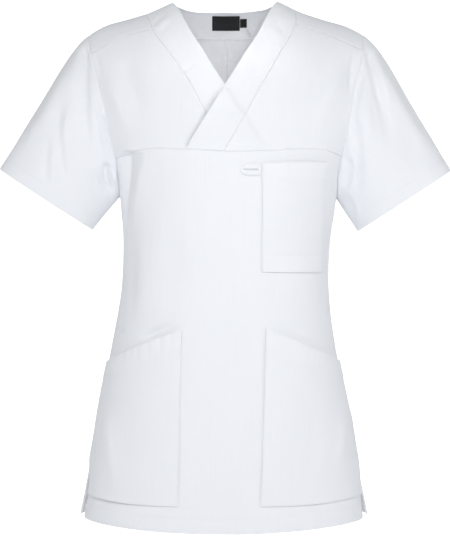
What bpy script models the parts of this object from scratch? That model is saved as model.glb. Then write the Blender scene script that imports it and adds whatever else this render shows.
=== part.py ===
"""Short-sleeved crossover work tunic, filled out as if worn, with no wearer.

Frame: +Z up, the front faces -Y, +X is the wearer's left. The origin lies midway between the two high
shoulder points, where the tunic hangs on the wearer's shoulders. "left" and "right" are the wearer's.

Every panel is a wall of cloth taken from one body form. The form has two coordinates: the angle t goes round
the body (0 at the centre line, 90 degrees at the side seam), and the station q goes over it (-2 front hem,
-1 front bust level, 0 shoulder ridge, 1 back bust level, 2 back hem). Seams are curves in (t, q), each panel
fills the patch between its seams, and what is sewn on a panel takes the panel's own points, moved out.
Sizes are in millimetres and degrees, and the meshes are made in metres.
"""

import math
from collections import namedtuple

import bpy
import numpy as np

MM = 0.001
SIDES = ("left", "right")

# ---------------------------------------------------------------- cloth and seams
WALL = 1.2  # cloth thickness
GAP = 0.3  # between neighbouring pieces, and between layers
SHARP_ANGLE = 50.0  # faces that meet at more than this are shaded with an edge between them
CROSSOVER_LIFT = 1.9  # how far the upper layer of the crossover front stands off the lower one
CROSSOVER_MARGIN = 7.0  # the lift stays whole this far past the hidden band's edge
CROSSOVER_FADE = 18.0  # and dies away over this width
LABEL_THICKNESS = 1.0
LABEL_GAP = 0.4  # between the neckband and a label

# ---------------------------------------------------------------- body form
BUST_Z = -235.0  # level where the shoulder arches stand on the body rings
HEM_Z = -720.0  # nominal level of the hem
RING_SQUARENESS = 2.3  # superellipse exponent of the rings, 2 is an ellipse
FRONT_ARCH = 1.75  # superellipse exponents of the arches over the shoulders
BACK_ARCH = 2.0
RIDGE_Y = 6.0  # the shoulder ridge lies a little behind the side seams

# z: level, half_width: from the centre to the side, front and back: depths from the side seam
Ring = namedtuple("Ring", "z half_width front back")
RINGS = (
    Ring(-40, 218.5, 112, 103),
    Ring(-75, 213, 112, 103),
    Ring(-106, 204, 112, 103),
    Ring(-134, 195, 112, 103),
    Ring(-165, 184.5, 112, 103),
    Ring(-190, 176, 112, 103),
    Ring(-212, 166.5, 112, 103),
    Ring(-235, 157, 112, 103),
    Ring(-273, 151, 113, 101),
    Ring(-300, 148.5, 112.5, 98),
    Ring(-340, 145, 110.5, 94),
    Ring(-375, 144.2, 109, 92),
    Ring(-420, 147, 109.5, 94),
    Ring(-485, 157.5, 113, 101),
    Ring(-560, 172, 117, 109),
    Ring(-640, 187, 121, 116),
    Ring(-720, 202, 125, 122),
)

# x: distance from the centre, z: height of the shoulder ridge there (under 75 it is the neck opening)
Ridge = namedtuple("Ridge", "x z")
RIDGES = (
    Ridge(0, 22), Ridge(40, 14), Ridge(75, 0), Ridge(107, -13.8),
    Ridge(138, -24), Ridge(172, -34.8), Ridge(193, -46.5), Ridge(225, -71),
)

# the tunic hangs a little askew: sideways shift of the form at each level
Lean = namedtuple("Lean", "z shift")
LEANS = (Lean(20, 0), Lean(-50, 2), Lean(-230, 4), Lean(-285, 4), Lean(-340, 2), Lean(-400, 0),
         Lean(-485, -1.8), Lean(-620, -1.4), Lean(-735, -1.4))

# ---------------------------------------------------------------- seams
ARMHOLE_ANGLE = {"front": 58.2, "back": 57.0}  # t of the straight part of the armhole seam
ARMHOLE_TURN_Q = 0.50  # the seam leaves that angle here and curves round to the side seam
ARMPIT_Z = -273.0
ARMHOLE_TURN = 0.28  # share of each half of the seam that is the straight part
RIDGE_BLEND = 0.3  # length of seam, on the same scale, where the front's angle changes into the back's
SHOULDER_SEAM_AT = {"left": 0.168, "right": 0.187}  # where the forward shoulder seam meets the armhole
CHEST_SEAM_AT = {"left": 0.690, "right": 0.705}  # where the chest seam meets it

# chest seam, seen from the front: x across, z level
Seam = namedtuple("Seam", "x z")
CHEST_SEAM = (
    Seam(-152, -228), Seam(-136, -218.5), Seam(-112, -212.5), Seam(-60, -212.5), Seam(0, -216),
    Seam(60, -215), Seam(112, -211), Seam(140, -213), Seam(160, -220),
)

# Neckband edges, from the chest seam up the front, over the shoulder and round to the centre back.
# x: across, z: level, sheet: -1 front, 0 on the shoulder ridge, 1 back. The wearer's left band lies on top.
Stop = namedtuple("Stop", "x z sheet")
BAND_SEAM = {
    "left": (
        Stop(-1.3, -215.8, -1), Stop(25.5, -169, -1), Stop(51, -121, -1), Stop(74.5, -79, -1),
        Stop(97, -36, -1), Stop(94, 0, 0), Stop(87, -22, 1), Stop(68, -36, 1), Stop(37, -42, 1),
        Stop(2, -43, 1),
    ),
    "right": (
        Stop(6.7, -215.4, -1), Stop(-27, -159.5, -1), Stop(-54.3, -109, -1), Stop(-78.5, -74.5, -1),
        Stop(-99.8, -42.5, -1), Stop(-110, 0, 0), Stop(-96, -27, 1), Stop(-70, -39, 1), Stop(-36, -42.5, 1),
        Stop(2, -43, 1),
    ),
}
BAND_EDGE = {
    "left": (
        Stop(-52.3, -213, -1), Stop(-26, -169.5, -1), Stop(0, -125, -1), Stop(26, -82, -1),
        Stop(51, -40, -1), Stop(74.5, 0, 0), Stop(62, -3.5, 1), Stop(44, -6.5, 1), Stop(22, -8, 1),
        Stop(2, -8, 1),
    ),
    "right": (
        Stop(53.6, -213.4, -1), Stop(27, -169, -1), Stop(0, -125.5, -1), Stop(-26, -83, -1),
        Stop(-51, -40, -1), Stop(-74.5, 0, 0), Stop(-63, -3.5, 1), Stop(-44, -7.5, 1), Stop(-22, -8, 1),
        Stop(2, -8, 1),
    ),
}
SHOULDER_CORNER = 4  # the stop where the forward shoulder seam meets the neckband
# forward shoulder seam between that corner and the armhole: x across, z level
SHOULDER_SEAM = {"left": (Seam(145, -51),), "right": (Seam(-150, -56.5),)}

# ---------------------------------------------------------------- hem and side vents
HEM_SIDE_Z = {"front": -715.5, "back": -717.0}
HEM_DROP = {"front": 12.0, "back": 7.0}  # the hem is this much lower at the centre
VENT_TOP_Z = -632.0
VENT_INSET = {"left": 5.0, "right": 9.0}  # the front's edge stands this far inside the back's edge
VENT_FULL = 0.8  # share of the vent's height, from its top, where the inset is whole
VENT_REACH = 34.0  # degrees of the front next to the side seam that the inset pulls in

# ---------------------------------------------------------------- sleeves
# of each sleeve, x from the centre line before the lean
CUFF_CENTRE = {"left": (251.0, 4.0, -279.0), "right": (250.5, 4.0, -277.0)}
CUFF_HALF_WIDTH = 77.5
CUFF_HALF_DEPTH = 37.0
CUFF_SQUARENESS = 2.2
CUFF_UP = (0.838, 0.0, 0.546)  # across the cuff, from the underarm to its outer end
CAP_RISE = 8.0  # the sleeve cap stands this far above the straight line to the cuff
CAP_PEAK = 0.22  # share of the sleeve's length where it does so
FRONT_FULLNESS = 7.0  # the same at the front and back of the sleeve
FULLNESS_PEAK = 0.35
FOLD_FREE = 0.25  # share of the sleeve next to the armhole where its folds die away
VALLEY_SINE = 0.33  # a sleeve that leaves the body this steeply stands in a valley of the cloth

# ---------------------------------------------------------------- pockets, pen loop and labels
# each outline is seen from the front: top and bottom edges, from the inner to the outer corner
HIP_POCKET = {
    "left": {
        "top": (Seam(54.7, -452.6), Seam(96, -470.7), Seam(128, -485.5), Seam(160, -502)),
        "bottom": (Seam(46.6, -690.5), Seam(100, -690.3), Seam(135, -688.9), Seam(178, -685)),
    },
    "right": {
        "top": (Seam(-57.5, -455.3), Seam(-96, -469.5), Seam(-128, -484), Seam(-162, -502)),
        "bottom": (Seam(-62.6, -690.6), Seam(-100, -690.3), Seam(-131, -689), Seam(-180, -684.5)),
    },
}
CHEST_POCKET = {
    "top": (Seam(49.5, -232), Seam(95, -229), Seam(139.5, -229)),
    "bottom": (Seam(49.5, -377.8), Seam(92, -378.5), Seam(131, -377.9)),
}
POCKET_GAP = 0.45  # between the body and a pocket where it is sewn down
POCKET_FULLNESS = 1.6  # further gap where the pocket stands free, most at its mouth
POCKET_SIDE_ANGLE = 88.6  # t of a hip pocket's outer edge, just inside the side seam
POCKET_MARGIN = 1.5  # degrees; a pocket has none of the body's columns this near to its edges
PEN_LOOP_CENTRE = Seam(34.6, -240.6)
PEN_LOOP_HALF = (14.2, 8.2)  # half length and half width
PEN_LOOP_SLIT = (9.0, 0.6)
PEN_LOOP_SQUARENESS = (2.2, 5.0)  # of its inner end, which is round, and of its outer end
NECK_LABEL = {"top": (Seam(-18.6, -11.5), Seam(21.3, -11.5)), "bottom": (Seam(-18.6, -31), Seam(21.3, -31))}
SIZE_TAB = {"top": (Seam(21.8, -15.5), Seam(31.5, -15.3)), "bottom": (Seam(21.8, -27), Seam(31.5, -26.7))}

# ---------------------------------------------------------------- folds
# sheet: -1 front, 1 back; start, middle, end: (x, z) as seen from the front; half_width: to where the fold
# is half as high; height: above the cloth, below it where negative
Fold = namedtuple("Fold", "sheet start middle end half_width height")
BODY_FOLDS = (
    Fold(-1, (-112, -222), (-122, -262), (-130, -318), 13, 2.6),
    Fold(-1, (-136, -300), (-131, -370), (-128, -445), 13, -3.0),
    Fold(-1, (152, -290), (148, -350), (149, -430), 9, -2.6),
    Fold(-1, (-166, -100), (-150, -140), (-130, -185), 14, 2.4),
    Fold(-1, (-146, -85), (-132, -112), (-114, -142), 12, -2.2),
    Fold(-1, (176, -76), (173, -108), (168, -142), 10, -2.6),
    Fold(-1, (165, -92), (142, -140), (118, -186), 14, 2.2),
    Fold(-1, (-160, -560), (-157, -610), (-148, -680), 12, 2.6),
    Fold(-1, (164, -560), (160, -600), (155, -655), 12, 2.4),
    Fold(1, (-120, -250), (-70, -320), (-62, -420), 20, -4.0),
    Fold(1, (118, -255), (74, -325), (58, -415), 20, -4.0),
    Fold(1, (-95, -420), (-104, -520), (-120, -640), 22, 3.4),
    Fold(1, (92, -430), (100, -530), (122, -650), 22, 3.4),
    Fold(1, (-150, -110), (-120, -160), (-70, -190), 16, 2.6),
    Fold(1, (150, -115), (118, -165), (74, -200), 16, 2.6),
)
SLEEVE_FOLDS = (
    Fold(-1, (-194, -72), (-196, -125), (-190, -205), 11, -4.2),
    Fold(-1, (-214, -92), (-224, -150), (-226, -215), 12, -2.6),
    Fold(-1, (-246, -150), (-246, -185), (-250, -232), 12, -2.2),
    Fold(-1, (-183, -225), (-179, -255), (-176, -285), 9, -2.4),
    Fold(-1, (205, -72), (214, -130), (232, -215), 12, -4.2),
    Fold(-1, (192, -100), (186, -150), (192, -225), 11, -3.0),
    Fold(-1, (200, -250), (188, -275), (184, -292), 9, -2.4),
    Fold(1, (-205, -80), (-216, -140), (-232, -215), 13, -3.6),
    Fold(1, (205, -80), (218, -145), (236, -222), 13, -3.6),
)

# ---------------------------------------------------------------- fineness of the meshes
COLUMN_STEP = 15.0  # widest column of the front body, at the chest seam
COLUMN_MARGIN = 4.0  # no column starts at a row of the chest seam this near to the end of a panel
FRONT_ROWS = 20
ARM_FRONT_ROWS = 10  # rows of the upper front beside the armhole
ARM_LOW_ROWS = 5  # columns of the front body below the end of the chest seam
ARM_BACK_ROWS = 15
SHOULDER_STRIP_ROWS = 3  # rows of the back panel in front of the ridge
SIDE_ROWS = 15
BACK_NECK_ROWS = 12
BACK_WAIST_ROW = 22  # the row of the back panels, at the waist, where each is made in two walls
BAND_COLUMNS = 4
SLEEVE_RINGS = 9
HIP_POCKET_ROWS = 10
CHEST_POCKET_ROWS = 7
NECK_LABEL_CELLS = (6, 3)  # columns and rows
SIZE_TAB_CELLS = (2, 2)
PEN_LOOP_STEP = 15  # degrees
PEN_LOOP_RINGS = 3


def smooth_through(knots, values):
    """A function of one number that runs smoothly through (knot, value) pairs: on each interval a cubic whose
    end slopes are those of the parabola through the neighbours."""
    knots = np.asarray(knots, float)
    values = np.asarray(values, float)
    order = np.argsort(knots)
    knots, values = knots[order], values[order]
    slopes = np.gradient(values, knots, edge_order=1)

    def at(place):
        place = np.clip(np.asarray(place, float), knots[0], knots[-1])
        i = np.clip(np.searchsorted(knots, place) - 1, 0, len(knots) - 2)
        width = knots[i + 1] - knots[i]
        u = (place - knots[i]) / width
        return (
            values[i] * (1 + 2 * u) * (1 - u) ** 2 + values[i + 1] * u * u * (3 - 2 * u)
            + width * (slopes[i] * u * (1 - u) ** 2 - slopes[i + 1] * u * u * (1 - u))
        )

    return at


def column(rows, name):
    return [getattr(row, name) for row in rows]


half_width_at = smooth_through(column(RINGS, "z"), column(RINGS, "half_width"))
front_depth_at = smooth_through(column(RINGS, "z"), column(RINGS, "front"))
back_depth_at = smooth_through(column(RINGS, "z"), column(RINGS, "back"))
ridge_at = smooth_through(column(RIDGES, "x"), column(RIDGES, "z"))
lean_at = smooth_through(column(LEANS, "z"), column(LEANS, "shift"))
RIDGE_MEAN_Z = RINGS[0].z


def soft_step(u):
    u = np.clip(u, 0, 1)
    return u * u * (3 - 2 * u)


def superellipse(angle, exponent):
    """Sine and cosine sides of a unit superellipse at an angle in degrees."""
    s = np.sin(np.radians(angle))
    c = np.cos(np.radians(angle))
    size = (np.abs(s) ** exponent + np.abs(c) ** exponent) ** (-1 / exponent)
    return s * size, c * size


def other_side(side, exponent):
    """The cosine side of a unit superellipse whose sine side is given."""
    return (1 - np.clip(np.abs(side), 0, 1) ** exponent) ** (1 / exponent)


# ---------------------------------------------------------------- the body form
def form_point(t, q):
    """The body form at angle t and station q, without folds."""
    t, q = np.broadcast_arrays(np.asarray(t, float), np.asarray(q, float))
    on_arch = np.abs(q) <= 1
    back = q > 0
    arch = np.where(back, BACK_ARCH, FRONT_ARCH)
    rise, fall = superellipse(np.minimum(np.abs(q), 1) * 90, arch)
    ring_z = BUST_Z + (np.abs(q) - 1) * (HEM_Z - BUST_Z)
    width_z = np.where(on_arch, BUST_Z + (RIDGE_MEAN_Z - BUST_Z) * fall, ring_z)
    side, depth_share = superellipse(t, RING_SQUARENESS)
    x = half_width_at(width_z) * side
    z = np.where(on_arch, BUST_Z + (ridge_at(np.abs(x)) - BUST_Z) * fall, ring_z)
    depth = np.where(back, back_depth_at(width_z), -front_depth_at(width_z))
    y = RIDGE_Y * (1 - rise) + depth * depth_share * rise
    return np.stack([x + lean_at(z), y, z], axis=-1)


def form_normal(t, q):
    """Unit normal of the body form, pointing out of the garment."""
    step_t, step_q = 0.4, 0.03  # wide along q, as the ridge is a rounded edge
    t, q = np.broadcast_arrays(np.asarray(t, float), np.asarray(q, float))
    across = form_point(t + step_t, q) - form_point(t - step_t, q)
    along = form_point(t, q + step_q) - form_point(t, q - step_q)
    return unit(np.cross(across, along))


def unit(vectors):
    return vectors / np.maximum(np.linalg.norm(vectors, axis=-1, keepdims=True), 1e-9)


def place(x, z, sheet):
    """(t, q) of the point of the body form that is seen at (x, z), on the front or back sheet."""
    x = x - float(lean_at(z))
    if z < BUST_Z:
        q = 1 + (z - BUST_Z) / (HEM_Z - BUST_Z)
        width = float(half_width_at(z))
    else:
        arch = BACK_ARCH if sheet > 0 else FRONT_ARCH
        top = float(ridge_at(abs(x)))
        fall = min((z - BUST_Z) / (top - BUST_Z), 1) if sheet else 1
        q = math.degrees(math.atan2(other_side(fall, arch), fall)) / 90
        width = float(half_width_at(BUST_Z + (RIDGE_MEAN_Z - BUST_Z) * fall))
    side = min(max(x / width, -1), 1)
    t = math.degrees(math.atan2(side, other_side(side, RING_SQUARENESS)))
    return t, (q if sheet > 0 else -q)


def fold_height(folds, x, z, sheet):
    """Height of the folds at points seen at (x, z): each is a bell across its line, dying out at its ends."""
    height = np.zeros(np.broadcast(x, z).shape)
    for fold in folds:
        legs = ((fold.start, fold.middle, 0.0), (fold.middle, fold.end, 0.5))
        nearest = np.full(height.shape, 1e9)
        along = np.zeros(height.shape)
        for (x0, z0), (x1, z1), first in legs:
            length2 = (x1 - x0) ** 2 + (z1 - z0) ** 2
            u = np.clip(((x - x0) * (x1 - x0) + (z - z0) * (z1 - z0)) / length2, 0, 1)
            distance = np.hypot(x - x0 - u * (x1 - x0), z - z0 - u * (z1 - z0))
            closer = distance < nearest
            along = np.where(closer, first + u / 2, along)
            nearest = np.where(closer, distance, nearest)
        bell = soft_step(1 - nearest / (2 * fold.half_width))
        ends = np.sin(np.pi * np.clip(along, 0.02, 0.98)) ** 0.7
        height = height + np.where(sheet == fold.sheet, fold.height * bell * ends, 0)
    return height


def vent_inset(t, q):
    """How far the front is pulled in beside a side vent: nothing above it, most just above the hem."""
    top_q = 1 + (VENT_TOP_Z - BUST_Z) / (HEM_Z - BUST_Z)
    down = soft_step((np.abs(q) - top_q) / (2 - top_q) / VENT_FULL)
    near_side = soft_step((np.abs(t) - (90 - VENT_REACH)) / VENT_REACH)
    most = np.where(t > 0, VENT_INSET["left"], VENT_INSET["right"])
    return np.where(q < 0, most * down * near_side, 0)


def cloth_point(t, q, out=0.0):
    """The outer face of the body cloth, with its folds, moved out by the given distance."""
    t, q = np.broadcast_arrays(np.asarray(t, float), np.asarray(q, float))
    point = form_point(t, q)
    normal = form_normal(t, q)
    sheet = np.where(q > 0, 1, -1)
    height = fold_height(BODY_FOLDS, point[..., 0], point[..., 2], sheet)
    point = point + normal * (height + out)[..., None]
    inset = np.sign(t) * vent_inset(t, q)
    return point - np.stack([inset, 0 * inset, 0 * inset], axis=-1)


def crossover_lift(x, z):
    """The wearer's left front and band rise over the right ones: full lift beyond the right band's inner
    edge, none CROSSOVER_FADE before it."""
    (x0, z0), (x1, z1) = (BAND_EDGE["right"][2][:2], BAND_EDGE["right"][0][:2])
    length = math.hypot(x1 - x0, z1 - z0)
    before = ((x - x0) * (z0 - z1) + (z - z0) * (x1 - x0)) / length
    return CROSSOVER_LIFT * soft_step(1 - (before - CROSSOVER_MARGIN) / CROSSOVER_FADE)


# ---------------------------------------------------------------- seam curves, as rows of (t, q)
def seam_rows(stops, samples):
    """A smooth curve in (t, q) through stops, read at numbers from 0 to the last stop."""
    placed = np.array([place(*stop) for stop in stops])
    stations = np.arange(len(stops))
    return np.stack([smooth_through(stations, placed[:, k])(samples) for k in (0, 1)], axis=-1)


def band_rows(side, samples):
    return seam_rows(BAND_SEAM[side], samples)


def armhole_rows(side, samples):
    """The armhole seam: samples run from -1 (armpit, by the front) over 0 (ridge) to 1 (armpit, by the back).
    The straight part keeps one angle t. A quarter ellipse in (t, q) then curves round to the side seam."""
    samples = np.asarray(samples, float)
    share = np.abs(samples)
    armpit_q = 1 + (ARMPIT_Z - BUST_Z) / (HEM_Z - BUST_Z)
    over_ridge = soft_step(samples / RIDGE_BLEND + 0.5)
    steep = ARMHOLE_ANGLE["front"] + (ARMHOLE_ANGLE["back"] - ARMHOLE_ANGLE["front"]) * over_ridge
    turn = np.clip((share - ARMHOLE_TURN) / (1 - ARMHOLE_TURN), 0, 1) * np.pi / 2
    t = steep + (90 - steep) * (1 - np.cos(turn))
    q = np.where(
        share < ARMHOLE_TURN,
        ARMHOLE_TURN_Q * share / ARMHOLE_TURN,
        ARMHOLE_TURN_Q + (armpit_q - ARMHOLE_TURN_Q) * np.sin(turn),
    )
    hand = 1 if side == "left" else -1
    return np.stack([hand * t, np.where(samples > 0, q, -q)], axis=-1)


def line_rows(seam, xs, sheet=-1):
    """A seam seen from the front as straight runs between its rows, read at the given x."""
    order = sorted(seam, key=lambda row: row.x)
    zs = np.interp(xs, column(order, "x"), column(order, "z"))
    return np.array([place(x, z, sheet) for x, z in zip(xs, zs)])


def spread(breaks, step):
    """Numbers from the first break to the last, each break among them, none further apart than step."""
    found = [breaks[0]]
    for first, last in zip(breaks, breaks[1:]):
        parts = max(1, math.ceil(abs(last - first) / step - 1e-9))
        found += [first + (last - first) * (k + 1) / parts for k in range(parts)]
    return np.array(found)


def chest_xs(start, stop):
    """Where the panels on both sides of the chest seam have their columns, between two x."""
    low, high = min(start, stop) + COLUMN_MARGIN, max(start, stop) - COLUMN_MARGIN
    inner = [row.x for row in CHEST_SEAM if low < row.x < high]
    inner = sorted(inner, reverse=start > stop)
    return spread([start, *inner, stop], COLUMN_STEP)


def front_x(t_q):
    return float(form_point(*t_q)[0])


def patch(bottom, top, inner, outer):
    """A grid of (t, q) between four seams (a Coons patch). bottom and top run from inner to outer, and inner
    and outer run from bottom to top."""
    u = np.linspace(0, 1, len(bottom))[None, :, None]
    v = np.linspace(0, 1, len(inner))[:, None, None]
    across = (1 - v) * bottom[None] + v * top[None]
    along = (1 - u) * inner[:, None] + u * outer[:, None]
    corners = (
        (1 - u) * (1 - v) * bottom[0] + u * (1 - v) * bottom[-1] + (1 - u) * v * top[0] + u * v * top[-1]
    )
    return across + along - corners


# ---------------------------------------------------------------- solids
def clear_scene():
    for existing in list(bpy.data.objects):
        bpy.data.objects.remove(existing)


def cloth_material(name, colour, roughness):
    material = bpy.data.materials.new(name)
    material.use_nodes = True
    shader = material.node_tree.nodes["Principled BSDF"]
    shader.inputs["Base Color"].default_value = (*colour, 1)
    shader.inputs["Roughness"].default_value = roughness
    shader.inputs["Metallic"].default_value = 0.0
    return material


def pull_in(grid, edges, by=GAP / 2):
    """Moves the named edges of a grid of points towards the inside of the grid, square to the edge: half a
    seam gap, as the piece beyond the seam moves as far the other way."""
    moved = grid.copy()
    neighbours = {
        "first_row": (np.s_[0], np.s_[1]),
        "last_row": (np.s_[-1], np.s_[-2]),
        "first_column": (np.s_[:, 0], np.s_[:, 1]),
        "last_column": (np.s_[:, -1], np.s_[:, -2]),
    }
    for edge in edges:
        here, beside = neighbours[edge]
        tangent = unit(np.gradient(grid[here], axis=0))
        inward = grid[beside] - grid[here]
        inward = inward - tangent * np.sum(inward * tangent, axis=-1, keepdims=True)
        moved[here] += unit(inward) * by
    return moved


def wall_object(name, outer, inner, material, tube=False):
    """A closed wall between two grids of points. A tube's columns close on themselves."""
    rows, columns = outer.shape[:2]
    points = np.concatenate([outer.reshape(-1, 3), inner.reshape(-1, 3)]) * MM
    under = rows * columns
    faces = []
    for i in range(rows - 1):
        for j in range(columns if tube else columns - 1):
            k = (j + 1) % columns
            a, b, c, d = i * columns + j, i * columns + k, (i + 1) * columns + k, (i + 1) * columns + j
            faces += [(a, b, c, d), (under + a, under + d, under + c, under + b)]
    rim = [(0, j) for j in range(columns)]
    far = [(rows - 1, j) for j in range(columns)]
    if tube:
        rims = [rim + [rim[0]], (far + [far[0]])[::-1]]
    else:
        side = [(i, columns - 1) for i in range(rows)]
        near = [(i, 0) for i in range(rows)]
        rims = [rim + side[1:] + far[::-1][1:] + near[::-1][1:]]
    for loop in rims:
        for (i, j), (m, n) in zip(loop, loop[1:]):
            a, b = i * columns + j, m * columns + n
            faces.append((a, under + a, under + b, b))
    mesh = bpy.data.meshes.new(name)
    mesh.from_pydata(points.tolist(), [], faces)
    mesh.update()
    if faces_in(mesh):
        mesh.flip_normals()
    mesh.shade_smooth()
    mesh.set_sharp_from_angle(angle=math.radians(SHARP_ANGLE))
    mesh.materials.append(material)
    item = bpy.data.objects.new(name, mesh)
    bpy.context.scene.collection.objects.link(item)
    return item


def faces_in(mesh):
    """Whether the faces of a closed mesh point in: the sum is six times the volume that they enclose."""
    total = 0.0
    for face in mesh.polygons:
        corners = [mesh.vertices[k].co for k in face.vertices]
        for second, third in zip(corners[1:], corners[2:]):
            total += corners[0].dot(second.cross(third))
    return total < 0


def panel(name, t_q, edges, material, out=0.0, wall=WALL):
    """A panel of body cloth over a grid of (t, q), its outer face moved out by `out`."""
    t, q = t_q[..., 0], t_q[..., 1]
    outer = pull_in(cloth_point(t, q, out), edges)
    inner = pull_in(cloth_point(t, q, out - wall), edges)
    return wall_object(name, outer, inner, material)


# ---------------------------------------------------------------- panels
def front_top_rows():
    """The upper edge of the front body: the right armhole, the chest seam, the left armhole."""
    low = {}
    for side in SIDES:
        low[side] = armhole_rows(side, np.linspace(-1, -CHEST_SEAM_AT[side], ARM_LOW_ROWS + 1))
    middle = line_rows(CHEST_SEAM, chest_xs(front_x(low["right"][-1]), front_x(low["left"][-1])))
    return np.concatenate([low["right"], middle[1:-1], low["left"][::-1]])


def front_body(material):
    """From side seam to side seam below the chest seam. Its columns keep their angle t down to the hem."""
    top = front_top_rows()
    side, _ = superellipse(top[:, 0], RING_SQUARENESS)
    hem_z = HEM_SIDE_Z["front"] - HEM_DROP["front"] * (1 - side**2)
    hem_q = -1 - (hem_z - BUST_Z) / (HEM_Z - BUST_Z)
    down = np.linspace(0, 1, FRONT_ROWS + 1)[:, None]
    q = top[:, 1] + (hem_q - top[:, 1]) * down
    t_q = np.stack([np.broadcast_to(top[:, 0], q.shape), q], axis=-1)
    return panel("front_body", t_q, ("first_row", "first_column", "last_column"), material)


def upper_front(side, material):
    """Between the chest seam, the neckband, the forward shoulder seam and the armhole."""
    arm = armhole_rows(side, np.linspace(-CHEST_SEAM_AT[side], -SHOULDER_SEAM_AT[side], ARM_FRONT_ROWS + 1))
    band = band_rows(side, np.linspace(0, SHOULDER_CORNER, ARM_FRONT_ROWS + 1))
    bottom = line_rows(CHEST_SEAM, upper_chest_xs(side))
    top = shoulder_seam(side)
    bottom[0], bottom[-1] = band[0], arm[0]
    t_q = patch(bottom, top, band, arm)
    edges = ("first_row", "last_row", "first_column", "last_column")
    point = form_point(t_q[..., 0], t_q[..., 1])
    lift = crossover_lift(point[..., 0], point[..., 2]) if side == "left" else 0.0
    return panel(f"upper_front_{side}", t_q, edges, material, out=lift)


def upper_chest_xs(side):
    """Where the columns of an upper front stand on the chest seam."""
    return chest_xs(BAND_SEAM[side][0].x, front_x(armhole_rows(side, -CHEST_SEAM_AT[side])))


def shoulder_seam(side):
    """The forward shoulder seam from the neckband to the armhole, as straight runs seen from the front. The
    upper front and the back panel have their columns at the same points of it."""
    corner = band_rows(side, SHOULDER_CORNER)
    tip = armhole_rows(side, -SHOULDER_SEAM_AT[side])
    seen = [Seam(*form_point(*corner)[[0, 2]]), *SHOULDER_SEAM[side], Seam(*form_point(*tip)[[0, 2]])]
    rows = line_rows(seen, np.linspace(seen[0].x, seen[-1].x, len(upper_chest_xs(side))))
    rows[0], rows[-1] = corner, tip
    return rows


def back_panel(side, material):
    """From the forward shoulder seam over the ridge and down the back to the hem, and from the centre-back
    seam to the armhole and side seam. It is two walls that meet at the waist."""
    last = len(BAND_SEAM[side]) - 1
    neck = band_rows(side, np.linspace(SHOULDER_CORNER, last, BACK_NECK_ROWS + 1))
    front_arm = armhole_rows(side, np.linspace(-SHOULDER_SEAM_AT[side], 0, SHOULDER_STRIP_ROWS + 1))
    back_arm = armhole_rows(side, np.linspace(0, 1, ARM_BACK_ROWS + 1))
    hem_side_q = 1 + (HEM_SIDE_Z["back"] - BUST_Z) / (HEM_Z - BUST_Z)
    hem_centre_q = 1 + (HEM_SIDE_Z["back"] - HEM_DROP["back"] - BUST_Z) / (HEM_Z - BUST_Z)
    rows_left = SHOULDER_STRIP_ROWS + ARM_BACK_ROWS + SIDE_ROWS - BACK_NECK_ROWS
    outer = np.concatenate([
        front_arm,
        back_arm[1:],
        straight_rows(back_arm[-1], (back_arm[-1][0], hem_side_q), SIDE_ROWS)[1:],
    ])
    inner = np.concatenate([neck, straight_rows(neck[-1], (0, hem_centre_q), rows_left)[1:]])
    top = shoulder_seam(side)
    bottom = straight_rows(inner[-1], outer[-1], len(top) - 1)
    lift = np.sin(np.radians(bottom[:, 0])) ** 2
    bottom[:, 1] = hem_centre_q + (hem_side_q - hem_centre_q) * lift
    t_q = patch(top, bottom, inner, outer)
    sides = ("first_row", "first_column", "last_column")
    panel(f"back_upper_{side}", t_q[: BACK_WAIST_ROW + 1], (*sides, "last_row"), material)
    panel(f"back_skirt_{side}", t_q[BACK_WAIST_ROW:], sides, material)


def straight_rows(first, last, parts):
    u = np.linspace(0, 1, parts + 1)[:, None]
    return np.asarray(first) + (np.asarray(last) - np.asarray(first)) * u


def neckband(side, material):
    """A strip from the chest seam up the front, over the shoulder and round to the centre back."""
    last = len(BAND_SEAM[side]) - 1
    front = np.linspace(0, SHOULDER_CORNER, ARM_FRONT_ROWS + 1)
    samples = np.concatenate([front, np.linspace(SHOULDER_CORNER, last, BACK_NECK_ROWS + 1)[1:]])
    seam = band_rows(side, samples)
    edge = seam_rows(BAND_EDGE[side], samples)
    u = np.linspace(0, 1, BAND_COLUMNS + 1)[None, :, None]
    t_q = seam[:, None] * (1 - u) + edge[:, None] * u
    t_q[0] = line_rows(CHEST_SEAM, np.linspace(BAND_SEAM[side][0].x, BAND_EDGE[side][0].x, BAND_COLUMNS + 1))
    point = form_point(t_q[..., 0], t_q[..., 1])
    on_front = t_q[..., 1] < 0
    lift = np.where(on_front, crossover_lift(point[..., 0], point[..., 2]), 0) if side == "left" else 0.0
    return panel(f"neckband_{side}", t_q, ("first_row", "last_row", "first_column"), material, out=lift)


# ---------------------------------------------------------------- sleeves
def cuff_point(side, turn):
    """The cuff is a superellipse. turn is 0 at its outer end, 90 at the front, 180 at the underarm."""
    up, across = superellipse(np.asarray(turn, float) + 90, CUFF_SQUARENESS)
    centre = np.array(CUFF_CENTRE[side])
    point = (
        centre
        + CUFF_HALF_WIDTH * up[..., None] * np.array(CUFF_UP)
        + CUFF_HALF_DEPTH * across[..., None] * np.array([0.0, 1.0, 0.0])
    )
    hand = 1 if side == "left" else -1
    return point * [hand, 1, 1]


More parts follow.
